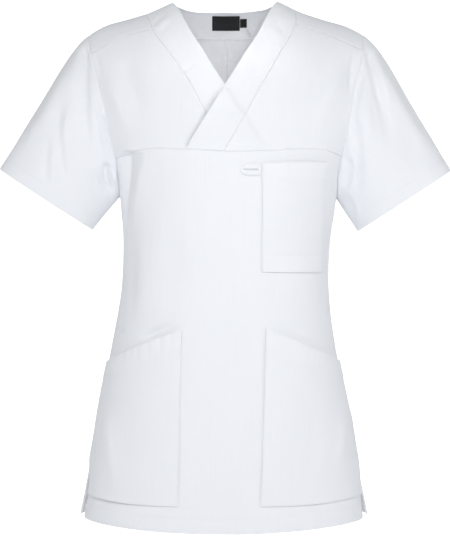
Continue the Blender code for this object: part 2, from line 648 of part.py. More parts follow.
def sleeve_surface(side, samples, down):
    """Points of the sleeve: from the armhole seam (down 0) to the cuff (down 1) on lines that bulge at the
    cap and at the front and back. samples run along the armhole as in armhole_rows."""
    rows = armhole_rows(side, samples)
    start = cloth_point(rows[:, 0], rows[:, 1])
    normal = form_normal(rows[:, 0], rows[:, 1])
    share = np.abs(samples)
    turn = np.where(np.asarray(samples) < 0, share * 180, 360 - share * 180)
    end = cuff_point(side, turn)
    top = np.cos(np.radians(turn / 2)) ** 4
    broad = np.sin(np.radians(turn)) ** 2
    d = down[:, None, None]
    cap = CAP_RISE * top[None, :, None] * (d / CAP_PEAK) * np.exp(1 - d / CAP_PEAK)
    full = FRONT_FULLNESS * broad[None, :, None] * (d / FULLNESS_PEAK) * np.exp(1 - d / FULLNESS_PEAK)
    forward = np.stack([0 * turn, np.where(turn < 180, -1.0, 1.0), 0 * turn], axis=-1)
    return start * (1 - d) + end * d + normal * cap + forward * full * (1 - d)


def sleeve_normals(grid):
    around = np.roll(grid, -1, axis=1) - np.roll(grid, 1, axis=1)
    down = np.gradient(grid, axis=0)
    return unit(np.cross(around, down))


def sleeve(side, material):
    """A tube set into the armhole. Its ring there has the same points as the panels round the armhole."""
    samples = np.concatenate([
        np.linspace(0, -SHOULDER_SEAM_AT[side], SHOULDER_STRIP_ROWS + 1),
        np.linspace(-SHOULDER_SEAM_AT[side], -CHEST_SEAM_AT[side], ARM_FRONT_ROWS + 1)[1:],
        np.linspace(-CHEST_SEAM_AT[side], -1, ARM_LOW_ROWS + 1)[1:],
        np.linspace(1, 0, ARM_BACK_ROWS + 1)[1:-1],
    ])
    down = np.linspace(0, 1, SLEEVE_RINGS + 1)
    grid = sleeve_surface(side, samples, down)
    hand = 1 if side == "left" else -1
    normal = sleeve_normals(grid) * hand
    front = np.where(normal[..., 1] < 0, -1, 1)
    height = fold_height(SLEEVE_FOLDS, grid[..., 0], grid[..., 2], front)
    height *= soft_step(down / FOLD_FREE)[:, None]
    grid = grid + normal * height[..., None]
    rows = armhole_rows(side, samples)
    body_normal = form_normal(rows[:, 0], rows[:, 1])
    leaving = unit(grid[1] - grid[0])
    valley = soft_step(np.sum(leaving * body_normal, axis=-1) / VALLEY_SINE)[:, None]
    inward = normal.copy()
    inward[0] = unit(body_normal * (1 - valley) + normal[0] * valley)
    outer = pull_in(grid, ("first_row",), by=GAP)
    inner = pull_in(grid - inward * WALL, ("first_row",), by=GAP)
    return wall_object(f"sleeve_{side}", outer, inner, material, tube=True)


# ---------------------------------------------------------------- what is sewn on
def seen_rows(first, last, parts):
    """(t, q) along the straight line from one corner to another, as seen from the front."""
    xs = np.linspace(first.x, last.x, parts + 1)
    zs = np.linspace(first.z, last.z, parts + 1)
    return np.array([place(x, z, -1) for x, z in zip(xs, zs)])


def column_station(edge, t):
    """Station where the front body's column at angle t meets an edge that is seen from the front."""
    order = sorted(edge, key=lambda row: row.x)
    x, q = edge[0].x, 0.0
    for _ in range(8):
        z = float(np.interp(x, column(order, "x"), column(order, "z")))
        q = place(x, z, -1)[1]
        x = front_x((t, q))
    return q


def between(first, last):
    """Two columns that divide the space between two others."""
    return [first + (last - first) * share for share in (1 / 3, 2 / 3)]


def pocket(name, outline, rows, material, to_side_seam):
    """A patch pocket on the front body: its columns are those of the body under it, between its own inner
    and outer edges. A hip pocket reaches the side seam."""
    top, bottom = outline["top"], outline["bottom"]
    hand = 1 if top[0].x > 0 else -1
    inner = seen_rows(top[0], bottom[0], rows)
    if to_side_seam:
        side_t = hand * POCKET_SIDE_ANGLE
        corners = [(side_t, column_station(edge, side_t)) for edge in (top, bottom)]
        outer = straight_rows(*corners, rows)
    else:
        outer = seen_rows(top[-1], bottom[-1], rows)
    low = np.max(hand * inner[:, 0]) + POCKET_MARGIN
    high = np.min(hand * outer[:, 0]) - POCKET_MARGIN
    body = sorted(hand * t for t in front_top_rows()[:, 0] if low < hand * t < high)
    strips = [inner]
    for t in body:
        ends = [(hand * t, column_station(edge, hand * t)) for edge in (top, bottom)]
        strips.append(straight_rows(*ends, rows))
    if not to_side_seam:
        strips += between(strips[-1], outer)
    t_q = np.stack([inner, *between(inner, strips[1]), *strips[1:], outer], axis=1)
    across = np.sin(np.pi * np.linspace(0, 1, t_q.shape[1]))[None, :]
    up = np.sin(np.pi / 2 * np.linspace(1, 0, rows + 1))[:, None]
    return panel(name, t_q, (), material, out=POCKET_GAP + WALL + POCKET_FULLNESS * across * up**0.7)


def label(name, outline, cells, material):
    """A label on the inside of the neckband, at the centre back."""
    columns, rows = cells
    top, bottom = outline["top"], outline["bottom"]
    across = np.linspace(0, 1, columns + 1)
    down = np.linspace(0, 1, rows + 1)[:, None]
    x = top[0].x + (top[1].x - top[0].x) * across
    z = top[0].z + (top[1].z - top[0].z) * across + (bottom[0].z - top[0].z) * down
    t_q = np.array([[place(a, b, 1) for a, b in zip(x, row)] for row in z])
    return panel(name, t_q, (), material, out=-WALL - LABEL_GAP, wall=LABEL_THICKNESS)


def pen_loop(material):
    """A short folded tape with a slit: rings between the slit and the outline, pointed at its inner end."""
    turns = np.radians(np.arange(0, 360, PEN_LOOP_STEP))
    half_length, half_width = PEN_LOOP_HALF
    squareness = np.where(np.cos(turns) < 0, *PEN_LOOP_SQUARENESS)
    ring = []
    for share in np.linspace(0, 1, PEN_LOOP_RINGS):
        size_x = PEN_LOOP_SLIT[0] + (half_length - PEN_LOOP_SLIT[0]) * share
        size_z = PEN_LOOP_SLIT[1] + (half_width - PEN_LOOP_SLIT[1]) * share
        side, across = superellipse(np.degrees(turns) + 90, squareness)
        xs, zs = PEN_LOOP_CENTRE.x + size_x * side, PEN_LOOP_CENTRE.z + size_z * across
        ring.append([place(x, z, -1) for x, z in zip(xs, zs)])
    t_q = np.array(ring)
    t, q = t_q[..., 0], t_q[..., 1]
    outer = cloth_point(t, q, GAP + WALL)
    inner = cloth_point(t, q, GAP)
    return wall_object("pen_loop", outer, inner, material, tube=True)


def build():
    clear_scene()
    white = cloth_material("white_twill", (0.86, 0.88, 0.92), 0.85)
    black = cloth_material("black_label", (0.01, 0.01, 0.012), 0.7)
    front_body(white)
    for side in SIDES:
        upper_front(side, white)
        neckband(side, white)
        back_panel(side, white)
        sleeve(side, white)
        pocket(f"hip_pocket_{side}", HIP_POCKET[side], HIP_POCKET_ROWS, white, to_side_seam=True)
    pocket("chest_pocket", CHEST_POCKET, CHEST_POCKET_ROWS, white, to_side_seam=False)
    pen_loop(white)
    label("neck_label", NECK_LABEL, NECK_LABEL_CELLS, black)
    label("size_tab", SIZE_TAB, SIZE_TAB_CELLS, black)


build()
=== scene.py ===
"""Looks of a short-sleeved crossover work tunic, filled out as if worn, with no wearer.

Frame: +Z up, the front faces -Y, +X is the wearer's left, and "left" and "right" are the wearer's. Tables
are in millimetres and degrees, and the meshes in metres. Every panel is a fine grid of points on the body
form of the solids, which has two coordinates: the angle t goes round the body (0 at the centre line, 90 at
the side seam), and the station q goes over it (-2 front hem, -1 front bust level, 0 shoulder ridge, 1 back
bust level, 2 back hem). Creases, seams, hems and turned edges are heights above that form.
"""

import math
from collections import namedtuple

import bpy
import numpy as np
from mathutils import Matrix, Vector


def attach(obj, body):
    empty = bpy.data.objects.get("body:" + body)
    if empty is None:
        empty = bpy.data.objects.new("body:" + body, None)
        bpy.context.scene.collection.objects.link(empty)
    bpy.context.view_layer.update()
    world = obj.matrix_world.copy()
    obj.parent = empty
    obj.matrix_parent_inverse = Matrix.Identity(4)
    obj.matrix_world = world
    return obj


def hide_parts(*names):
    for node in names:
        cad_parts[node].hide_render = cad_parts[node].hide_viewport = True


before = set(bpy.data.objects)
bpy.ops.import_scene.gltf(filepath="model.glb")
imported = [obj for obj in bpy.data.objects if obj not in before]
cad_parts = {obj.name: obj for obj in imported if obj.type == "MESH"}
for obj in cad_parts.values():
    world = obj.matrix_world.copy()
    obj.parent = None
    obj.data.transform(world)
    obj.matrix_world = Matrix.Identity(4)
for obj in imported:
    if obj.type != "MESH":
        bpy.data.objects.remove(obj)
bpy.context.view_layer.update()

MM = 0.001
SIDES = ("left", "right")
HAND = {"left": 1, "right": -1}

# ---- cloth
CLOTH = 1.1  # thickness of a panel
BAND_CLOTH = 1.8  # the neckband is doubled
STEP = 2.6  # usual distance between grid points
NEAR_EDGE = (0.0, 0.3, 0.65, 1.1, 2.0, 3.6)  # grid lines at a seam
NEAR_HEM = (0.0, 0.5, 1.2, 3.0, 6.0, 10.0, 14.0, 17.5, 19.5, 20.6, 21.4, 22.2, 23.4, 25.5, 28.0)
NEAR_CENTRE_BACK = (0.0, 0.6, 1.3, 2.2, 4.0, 7.0, 9.2, 9.8, 10.4, 12.0)
ALLOWANCE_WIDTH = 10.2  # the centre back seam allowance, pressed to the left inside
ALLOWANCE_LAYER = 0.9
ALLOWANCE_END = 0.8
SHOULDER_ALLOWANCE = 8.0  # doubled cloth of the back along the forward shoulder seam
ARMHOLE_ALLOWANCE = 6.0  # and of the upper fronts along the armhole
SEAM_DIP = 1.25  # depth of the groove at a seam
SEAM_DIP_WIDTH = 0.6
LAYER = 0.45  # a further layer of cloth raises the surface by this
LAYER_END = 1.6  # width of the step where doubled cloth ends
HEM_SHARE = 0.3  # how much of the doubled cloth of a hem shows on its outside
RIM_ROUND = 0.7  # a hemmed or turned edge is rounded over this distance
PUCKER_PERIOD = 11.0
PUCKER_REACH = 7.0
HEM_WIDTH = 21.5
SLEEVE_HEM_WIDTH = 19.0
MOUTH_HEM_WIDTH = 24.0
CHEST_STEP_WIDTH = 23.0  # the doubled strip at the foot of the chest pocket
POCKET_CLOTH = 1.15
SHARP_ANGLE = 60  # faces that meet at more than this have a sharp edge between them

# ---- sewing thread
STITCH_LENGTH = 2.3
STITCH_PITCH = 2.9
STITCH_WIDTH = 0.36
STITCH_INSET = 1.0  # a doubled edge is sewn down this far inside the end of its strip
STITCH_TRIM = 1.5  # a row of stitches leaves this free at both ends
STITCH_DIP = 0.16  # and pulls the cloth in by this
STITCH_DIP_WIDTH = 0.9

# ---- body form, as in the solids
BUST_Z = -235.0
HEM_Z = -720.0
RING_SQUARENESS = 2.3
FRONT_ARCH = 1.75
BACK_ARCH = 2.0
RIDGE_Y = 6.0

# z: level, half_width: from the centre to the side, front and back: depths from the side seam
Ring = namedtuple("Ring", "z half_width front back")
RINGS = (
    Ring(-40, 218.5, 112, 103),
    Ring(-75, 213, 112, 103),
    Ring(-106, 204, 112, 103),
    Ring(-134, 195, 112, 103),
    Ring(-165, 184.5, 112, 103),
    Ring(-190, 176, 112, 103),
    Ring(-212, 166.5, 112, 103),
    Ring(-235, 157, 112, 103),
    Ring(-273, 151, 113, 101),
    Ring(-300, 148.5, 112.5, 98),
    Ring(-340, 145, 110.5, 94),
    Ring(-375, 144.2, 109, 92),
    Ring(-420, 147, 109.5, 94),
    Ring(-485, 157.5, 113, 101),
    Ring(-560, 172, 117, 109),
    Ring(-640, 187, 121, 116),
    Ring(-720, 202, 125, 122),
)
# x: distance from the centre, z: height of the shoulder ridge there
Ridge = namedtuple("Ridge", "x z")
RIDGES = (
    Ridge(0, 22), Ridge(40, 14), Ridge(75, 0), Ridge(107, -13.8),
    Ridge(138, -24), Ridge(172, -34.8), Ridge(193, -46.5), Ridge(225, -71),
)
# the tunic hangs a little askew: sideways shift of the form at each level
Lean = namedtuple("Lean", "z shift")
LEANS = (Lean(20, 0), Lean(-50, 2), Lean(-230, 4), Lean(-285, 4), Lean(-340, 2), Lean(-400, 0),
         Lean(-485, -1.8), Lean(-620, -1.4), Lean(-735, -1.4))

# ---- seams
ARMHOLE_ANGLE = {"front": 58.2, "back": 57.0}
ARMHOLE_TURN_Q = 0.50
ARMPIT_Z = -273.0
ARMHOLE_TURN = 0.28
RIDGE_BLEND = 0.3
SHOULDER_SEAM_AT = {"left": 0.168, "right": 0.187}
CHEST_SEAM_AT = {"left": 0.690, "right": 0.705}
Seam = namedtuple("Seam", "x z")
CHEST_SEAM = (
    Seam(-136, -218.5), Seam(-112, -212.5), Seam(-60, -212.5), Seam(0, -216), Seam(60, -215),
    Seam(112, -211), Seam(140, -213),
)
# neckband edges from the chest seam over the shoulder to the centre back; sheet: -1 front, 0 ridge, 1 back
Stop = namedtuple("Stop", "x z sheet")
BAND_SEAM = {
    "left": (
        Stop(-1.3, -215.8, -1), Stop(25.5, -169, -1), Stop(51, -121, -1), Stop(74.5, -79, -1),
        Stop(97, -36, -1), Stop(94, 0, 0), Stop(87, -22, 1), Stop(68, -36, 1), Stop(37, -42, 1),
        Stop(2, -43, 1),
    ),
    "right": (
        Stop(6.7, -215.4, -1), Stop(-27, -159.5, -1), Stop(-54.3, -109, -1), Stop(-78.5, -74.5, -1),
        Stop(-99.8, -42.5, -1), Stop(-110, 0, 0), Stop(-96, -27, 1), Stop(-70, -39, 1), Stop(-36, -42.5, 1),
        Stop(2, -43, 1),
    ),
}
BAND_EDGE = {
    "left": (
        Stop(-52.3, -213, -1), Stop(-26, -169.5, -1), Stop(0, -125, -1), Stop(26, -82, -1),
        Stop(51, -40, -1), Stop(74.5, 0, 0), Stop(62, -3.5, 1), Stop(44, -6.5, 1), Stop(22, -8, 1),
        Stop(2, -8, 1),
    ),
    "right": (
        Stop(53.6, -213.4, -1), Stop(27, -169, -1), Stop(0, -125.5, -1), Stop(-26, -83, -1),
        Stop(-51, -40, -1), Stop(-74.5, 0, 0), Stop(-63, -3.5, 1), Stop(-44, -7.5, 1), Stop(-22, -8, 1),
        Stop(2, -8, 1),
    ),
}
LIP_HEIGHT = 1.6  # the free edge of the upper band stands off by this at the most
LIP_REACH = 13.0
LIP_TOP_Z = -126.0  # there is no lip above this level
FALL_BEHIND = 5.0  # the front behind that edge falls in by this at the most
FALL_PEAK = 1.0  # it is deepest this far under that edge
FALL_REACH = {"under": 16.0, "past": 8.0}  # from there to each side
FALL_TOP_Z = -128.0
CROSSOVER_FADE = 20.0  # height over which the lip and the fall set in
CROSSOVER_LIFT = (0.2, 1.9)  # of the upper front: at the chest seam, and what is added above it
HIDDEN_EDGE_STEP = (5.0, 6.0)  # that lift ends this far past the hidden edge, over this width
UNDER_SINK = 1.5  # at the chest seam the lower front sinks in by this
UNDER_SINK_WIDTH = 5.0
CROSSOVER_OPEN = 10.0  # the crossed fronts come together over this height above the chest seam
SHOULDER_CORNER = 4  # the stop of a neckband seam that is at the forward shoulder seam
BAND_GRID = (460, 40)  # samples along and across a neckband
BAND_FOOT = 60  # the move of its foot onto the chest seam dies out up the band as exp(-60 share)
SHOULDER_SEAM = {"left": (Seam(145, -51),), "right": (Seam(-150, -56.5),)}

# ---- hem and vents
HEM_SIDE_Z = {"front": -715.5, "back": -717.0}
HEM_DROP = {"front": 12.0, "back": 7.0}
VENT_TOP_Z = -632.0
VENT_INSET = {"left": 8.5, "right": 7.5}  # the front edge is set back by this at the hem
VENT_FULL = {"left": 0.9, "right": 0.5}  # share of the way from vent top to hem at which it is reached
VENT_REACH = 34.0

# ---- sleeves
CUFF_CENTRE = {"left": (251.0, 4.0, -279.0), "right": (250.5, 4.0, -277.0)}
CUFF_HALF_WIDTH = 77.5
CUFF_HALF_DEPTH = 37.0
CUFF_SQUARENESS = 2.2
CUFF_UP = (0.838, 0.0, 0.546)
CAP_RISE = 8.0
CAP_PEAK = 0.22
SLEEVE_FULLNESS = 7.0
FULLNESS_PEAK = 0.35
FOLD_FREE = 0.05  # share of the sleeve's length over which the creases set in below the armhole
SLEEVE_LENGTH = 205.0  # mean distance from armhole to cuff
SEAM_VALLEY = 0.33  # sine of the angle between sleeve and body at which its rim has turned to the sleeve
RIM_TURN = 8.0  # distance over which the wall turns from the rim's direction to its own
RELIEF_TURN = 4.0  # and its relief from the body's direction
NEAR_CUFF = (26, 23, 20.8, 20, 19.2, 18.2, 16.5, 13, 9, 5, 2.5, 1.2, 0.5, 0)  # grid lines above the cuff

# ---- pockets, pen loop and labels
HIP_POCKET = {
    "left": {
        "top": (Seam(54.7, -452.6), Seam(96, -470.7), Seam(128, -485.5), Seam(160, -502)),
        "bottom": (Seam(46.6, -690.5), Seam(100, -690.3), Seam(135, -688.9), Seam(178, -685)),
    },
    "right": {
        "top": (Seam(-57.5, -455.3), Seam(-96, -469.5), Seam(-128, -484), Seam(-162, -502)),
        "bottom": (Seam(-62.6, -690.6), Seam(-100, -690.3), Seam(-131, -689), Seam(-180, -684.5)),
    },
}
CHEST_POCKET = {
    "top": (Seam(49.5, -232), Seam(95, -229), Seam(139.5, -229)),
    "bottom": (Seam(49.5, -377.8), Seam(92, -378.5), Seam(131, -377.9)),
}
POCKET_SIDE_ANGLE = 88.6
HIP_STAND_OFF = 2.3
CHEST_STAND_OFF = 2.2
POCKET_FULLNESS = 1.6
POCKET_STITCH = 1.8  # a pocket is sewn on this far inside its sides and foot
# the lifted lower corner of the right hip pocket
Corner = namedtuple("Corner", "x z reach_x reach_z lift")
LIFTED_CORNER = Corner(-152, -686, 24, 14, 2.4)
PEN_LOOP_CENTRE = Seam(34.6, -240.6)
PEN_LOOP_HALF = np.array((14.2, 8.2))  # half width and height of its outline
PEN_LOOP_SLIT = np.array((9.5, 0.9))  # and of its slit
PEN_LOOP_STAND_OFF = 2.3
PEN_LOOP_UNDERSIDE = 1.0
PEN_LOOP_FULLNESS = 0.5
# upper corners and one lower corner of the two labels inside the back of the neck
LABELS = {
    "neck_label": (Seam(-18.6, -11.5), Seam(21.3, -11.5), Seam(-18.6, -31)),
    "size_tab": (Seam(21.8, -15.5), Seam(31.5, -15.3), Seam(21.8, -27)),
}
LABEL_GAP = 0.25
LABEL_CLOTH = 0.7

# ---- cut of a piece
# columns of a piece's cut: what shows of it laid flat, in metres and square metres, with how it is held and
# what it rests on; no piece's cut is listed here
Cut = namedtuple("Cut", "width length area held rests_on", defaults=((),))
# a back panel is one cut of cloth over two solids that meet at the waist
STANDS_FOR = {f"back_{name}": (f"back_upper_{name}", f"back_skirt_{name}") for name in SIDES}

# ---- creases
# start, middle, end: (x, z) seen from the front; widths: to half height on each side, the first on the side
# of greater x; height: above the cloth, below it where negative; fades: the shares of its length over which
# it dies out at the start and at the end; crisp: its flank on the side of greater x is straight, so that its
# crest is a crisp edge; taper: the share of its widths that is gone by its end
Crease = namedtuple(
    "Crease", "start middle end widths height fades crisp taper", defaults=((0.35, 0.35), False, 0.0)
)


def crease_rows(*rows):
    return [Crease(*row) for row in rows]


FRONT_CREASES = crease_rows(
    # large folds, as in the solids
    ((-112, -222), (-122, -262), (-130, -318), (13, 13), 2.6),
    ((-136, -300), (-131, -370), (-128, -445), (13, 13), -3.0),
    ((152, -290), (148, -350), (149, -430), (9, 9), -2.6),
    ((-166, -100), (-150, -140), (-130, -185), (14, 14), 2.4),
    ((-146, -85), (-132, -112), (-114, -142), (12, 12), -2.2),
    ((176, -76), (173, -108), (168, -142), (10, 10), -2.6),
    ((165, -92), (142, -140), (118, -186), (14, 14), 2.2),
    ((-160, -560), (-157, -610), (-148, -680), (12, 12), 2.6),
    ((164, -560), (160, -600), (155, -655), (12, 12), 2.4),
    # the sharp fold below the bust on the right side, and the seam pucker beside it
    ((-135, -212), (-136, -270), (-138, -345), (13.2, 7), -10.0, (0.07, 0.75), True, 0.72),
    ((-116, -320), (-114, -385), (-116, -462), (20, 8), 3.0, (0.4, 0.4)),
    ((-147, -454), (-141, -456), (-135, -457), (2, 2), -1.4),
    # chest, waist and skirt of the front
    ((-20, -229), (-9, -232), (3, -237), (2.5, 4), -1.2),
    ((-42, -227.5), (-20, -226.5), (0, -228), (1.8, 1.8), -0.5),
    ((-76, -300), (-70, -345), (-66, -395), (11, 9), -1.6),
    ((-158, -545), (-154, -612), (-145, -672), (5, 6), 1.6),
    ((162, -560), (156, -605), (150, -648), (5, 5), 1.8),
    ((122, -560), (118, -610), (108, -650), (9, 7), -1.2),
    ((20, -400), (26, -520), (22, -640), (16, 12), -1.4),
    # the front falls in behind the mouths of the hip pockets
    ((-118, -471), (-90, -457), (-61, -446), (5, 4), -6.0, (0.4, 0.5)),
    ((74, -449), (96, -458), (124, -470), (5, 5), -2.4),
    # mouth hem of the right hip pocket
    ((-137, -480), (-136, -494), (-136, -512), (2.4, 2.4), -0.9, (0.3, 0.6)),
    ((-127, -476), (-126, -491), (-127, -510), (2.6, 2.0), -1.1, (0.3, 0.6)),
    ((-117, -471), (-117, -488), (-116, -509), (2.2, 2.8), -0.8, (0.3, 0.6)),
    ((-103, -466), (-103, -482), (-102, -504), (2.6, 2.2), -1.1, (0.3, 0.6)),
    ((-86, -460), (-87, -476), (-88, -499), (3.2, 2.4), -1.2, (0.3, 0.6)),
    ((-72, -455), (-72, -470), (-74, -492), (2.4, 2.4), -0.9, (0.3, 0.6)),
    # upper fronts
    ((-164, -105), (-146, -146), (-126, -197), (7, 8), 2.0),
    ((-144, -91), (-127, -126), (-108, -173), (10, 7), -2.2),
    ((-182, -68), (-176, -92), (-166, -122), (4, 4), -2.0, (0.5, 0.5)),
    ((161, -96), (141, -143), (116, -195), (7, 7), 1.6),
    ((150, -88), (132, -118), (112, -156), (9, 9), -1.8),
    ((179, -74), (175, -110), (170, -162), (4, 3.5), -3.4, (0.2, 0.5)),
    # neckband
    ((-103, -42), (-95, -32), (-85, -18), (3, 3), -1.3, (0.5, 0.5)),
    ((-95, -48), (-86, -35), (-75, -20), (4, 4), 1.0, (0.5, 0.5)),
    ((-90, -53), (-81, -43), (-70, -31), (2.4, 2.4), -0.9, (0.5, 0.5)),
    ((-61, -108), (-49, -101), (-36, -90), (2.4, 2.4), -1.4, (0.3, 0.7)),
    ((-62, -98), (-50, -92), (-38, -82), (5, 5), 0.7, (0.5, 0.5)),
    ((67, -31), (77, -45), (89, -60), (3.4, 3.4), -2.0, (0.6, 0.4)),
    ((60, -36), (70, -52), (80, -68), (5, 5), 0.9, (0.5, 0.5)),
    ((79, -28), (86, -37), (95, -49), (2.4, 2.4), -1.0, (0.5, 0.5)),
    ((23, -83), (36, -101), (42, -128), (3, 5), -1.9, (0.6, 0.4)),
    ((13, -104), (18, -115), (24, -128), (2.4, 2.8), -1.2, (0.5, 0.5)),
    ((49, -57), (56, -62), (62, -68), (3, 3), -0.8, (0.5, 0.5)),
    # the hidden edge of the right band shows through the left one
    ((4, -126), (15, -143), (29, -166), (2, 4), -2.6, (0.1, 0.2)),
    ((30, -167), (40, -183), (52, -207), (4, 6), -1.1),
)
BACK_CREASES = crease_rows(
    # large folds, as in the solids
    ((-120, -250), (-70, -320), (-62, -420), (20, 20), -4.0),
    ((118, -255), (74, -325), (58, -415), (20, 20), -4.0),
    ((-95, -420), (-104, -520), (-120, -640), (22, 22), 3.4),
    ((92, -430), (100, -530), (122, -650), (22, 22), 3.4),
    ((-150, -110), (-120, -160), (-70, -190), (16, 16), 2.6),
    ((150, -115), (118, -165), (74, -200), (16, 16), 2.6),
    # inside the back of the neck
    ((32, -22), (37, -33), (44, -44), (3, 3), -2.0),
    ((50, -14), (46, -26), (44, -38), (2.5, 2.5), -1.4),
    ((-28, -64), (-12, -68), (4, -72), (9, 9), 2.6),
    ((-46, -28), (-34, -40), (-24, -44), (4, 4), -1.2),
)
SLEEVE_FRONT_CREASES = crease_rows(
    # right sleeve
    ((-192, -62), (-193, -128), (-184, -222), (5, 7), -7.5, (0.12, 0.5)),
    ((-168, -102), (-163, -158), (-157, -222), (4, 8), -6.5, (0.3, 0.4)),
    ((-199, -70), (-240, -143), (-283, -216), (12, 7), 4.0, (0.3, 0.3)),
    ((-171, -145), (-165, -185), (-162, -224), (3.5, 3.5), -2.2),
    ((-205, -92), (-217, -158), (-236, -226), (9, 9), 3.2),
    ((-218, -142), (-227, -190), (-218, -260), (4, 6), -2.8),
    ((-213, -100), (-235, -154), (-257, -218), (10, 10), 2.0),
    ((-240, -192), (-247, -230), (-243, -267), (4, 5), -2.4),
    ((-180, -238), (-173, -257), (-165, -276), (3, 3), -2.4, (0.5, 0.3)),
    ((-190, -228), (-183, -256), (-175, -287), (4, 4), -1.8, (0.5, 0.5)),
    ((-160, -228), (-163, -248), (-154, -276), (4, 4), -7.0, (0.2, 0.3)),
    ((-153, -234), (-153, -245), (-151, -256), (3, 3), 4.0),
    # left sleeve
    ((197, -66), (213, -128), (232, -216), (5, 6), -6.4, (0.15, 0.5)),
    ((203, -106), (196, -154), (201, -212), (6, 6), 2.2),
    ((200, -72), (240, -145), (283, -216), (7, 12), 4.0, (0.3, 0.3)),
    ((169, -146), (183, -212), (180, -290), (6, 6), -6.5, (0.25, 0.35)),
    ((192, -94), (184, -129), (177, -170), (4, 6), -4.0),
    ((178, -186), (180, -222), (175, -254), (4, 4), 1.8),
    ((167, -216), (171, -240), (163, -266), (4, 4), -5.5, (0.3, 0.3)),
    ((168, -262), (173, -284), (180, -306), (4, 9), -2.6, (0.5, 0.5)),
    ((181, -272), (184, -292), (183, -316), (3, 3), 1.4, (0.5, 0.4)),
    ((248, -150), (256, -190), (266, -236), (9, 9), -1.6),
)
SLEEVE_BACK_CREASES = crease_rows(
    ((-205, -78), (-216, -140), (-232, -215), (11, 9), -4.6),
    ((-190, -130), (-184, -180), (-186, -240), (8, 9), -3.4),
    ((-240, -170), (-246, -205), (-254, -246), (9, 8), -2.2),
    ((205, -80), (218, -145), (236, -222), (10, 12), -4.4),
    ((189, -120), (181, -175), (184, -245), (9, 8), -3.6),
    ((168, -226), (172, -250), (168, -280), (6, 6), -2.6),
)
# by sheet: -1 front, 1 back
BODY_CREASES = {-1: FRONT_CREASES, 1: BACK_CREASES}
SLEEVE_CREASES = {-1: SLEEVE_FRONT_CREASES, 1: SLEEVE_BACK_CREASES}
CREASE_POINTS = 9  # a crease runs along a parabola, read at this many points
CREASE_REACH = 60.0


# ---- curves
def smooth_through(knots, values):
    """A function that runs smoothly through (knot, value) pairs: on each interval a cubic whose end slopes
    are those of the parabola through the neighbours."""
    knots = np.asarray(knots, float)
    values = np.asarray(values, float)
    order = np.argsort(knots)
    knots, values = knots[order], values[order]
    slopes = np.gradient(values, knots, edge_order=1)

    def at(place):
        place = np.clip(np.asarray(place, float), knots[0], knots[-1])
        i = np.clip(np.searchsorted(knots, place) - 1, 0, len(knots) - 2)
        width = knots[i + 1] - knots[i]
        u = (place - knots[i]) / width
        return (
            values[i] * (1 + 2 * u) * (1 - u) ** 2 + values[i + 1] * u * u * (3 - 2 * u)
            + width * (slopes[i] * u * (1 - u) ** 2 - slopes[i + 1] * u * u * (1 - u))
        )

    return at


def curve(rows, knot, value):
    """The smooth function from one named column of a table to another."""
    return smooth_through([getattr(row, knot) for row in rows], [getattr(row, value) for row in rows])


half_width_at = curve(RINGS, "z", "half_width")
front_depth_at = curve(RINGS, "z", "front")
back_depth_at = curve(RINGS, "z", "back")
ridge_at = curve(RIDGES, "x", "z")
lean_at = curve(LEANS, "z", "shift")
RIDGE_MEAN_Z = RINGS[0].z


def soft_step(u):
    """0 below 0, 1 above 1, and three u squared less two u cubed between."""
    u = np.clip(u, 0, 1)
    return u * u * (3 - 2 * u)


def fade(distance, width):
    """A Gaussian: 1 at distance 0, 1/e at the width."""
    return np.exp(-((distance / width) ** 2))


def parabola(a, b, c, share):
    """The parabola through a, b and c, at shares of the way from a over b to c."""
    return a * (1 - share) * (1 - 2 * share) + 4 * b * share * (1 - share) + c * share * (2 * share - 1)


def superellipse(angle, exponent):
    """Sine and cosine sides of a unit superellipse at an angle in degrees."""
    s = np.sin(np.radians(angle))
    c = np.cos(np.radians(angle))
    size = (np.abs(s) ** exponent + np.abs(c) ** exponent) ** (-1 / exponent)
    return s * size, c * size


def other_side(side, exponent):
    """The cosine side of a unit superellipse whose sine side is given."""
    return (1 - np.clip(np.abs(side), 0, 1) ** exponent) ** (1 / exponent)


def unit(vectors):
    return vectors / np.maximum(np.linalg.norm(vectors, axis=-1, keepdims=True), 1e-9)


# ---- the body form
def matched(t, q):
    """Both as arrays of one shape."""
    return np.broadcast_arrays(np.asarray(t, float), np.asarray(q, float))


def station_at(z):
    """Station on the back at a level below the bust. On the front it is the same with the sign changed."""
    return 1 + (z - BUST_Z) / (HEM_Z - BUST_Z)


def form_point(t, q):
    """Above bust level superellipse arches run from the ridge to the bust ring, and below it the rings are
    superellipses of the tables' half width and depth."""
    t, q = matched(t, q)
    on_arch = np.abs(q) <= 1
    back = q > 0
    arch = np.where(back, BACK_ARCH, FRONT_ARCH)
    rise, fall = superellipse(np.minimum(np.abs(q), 1) * 90, arch)
    ring_z = BUST_Z + (np.abs(q) - 1) * (HEM_Z - BUST_Z)
    width_z = np.where(on_arch, BUST_Z + (RIDGE_MEAN_Z - BUST_Z) * fall, ring_z)
    side, depth_share = superellipse(t, RING_SQUARENESS)
    x = half_width_at(width_z) * side
    z = np.where(on_arch, BUST_Z + (ridge_at(np.abs(x)) - BUST_Z) * fall, ring_z)
    depth = np.where(back, back_depth_at(width_z), -front_depth_at(width_z))
    y = RIDGE_Y * (1 - rise) + depth * depth_share * rise
    return np.stack([x + lean_at(z), y, z], axis=-1)


def form_normal(t, q):
    """Unit normal out of the garment: the cross product of steps along t and q."""
    step_t, step_q = 0.4, 0.03
    t, q = matched(t, q)
    across = form_point(t + step_t, q) - form_point(t - step_t, q)
    along = form_point(t, q + step_q) - form_point(t, q - step_q)
    return unit(np.cross(across, along))


def on_form(t_q):
    """Points of the form at rows or a grid of (t, q)."""
    return form_point(t_q[..., 0], t_q[..., 1])


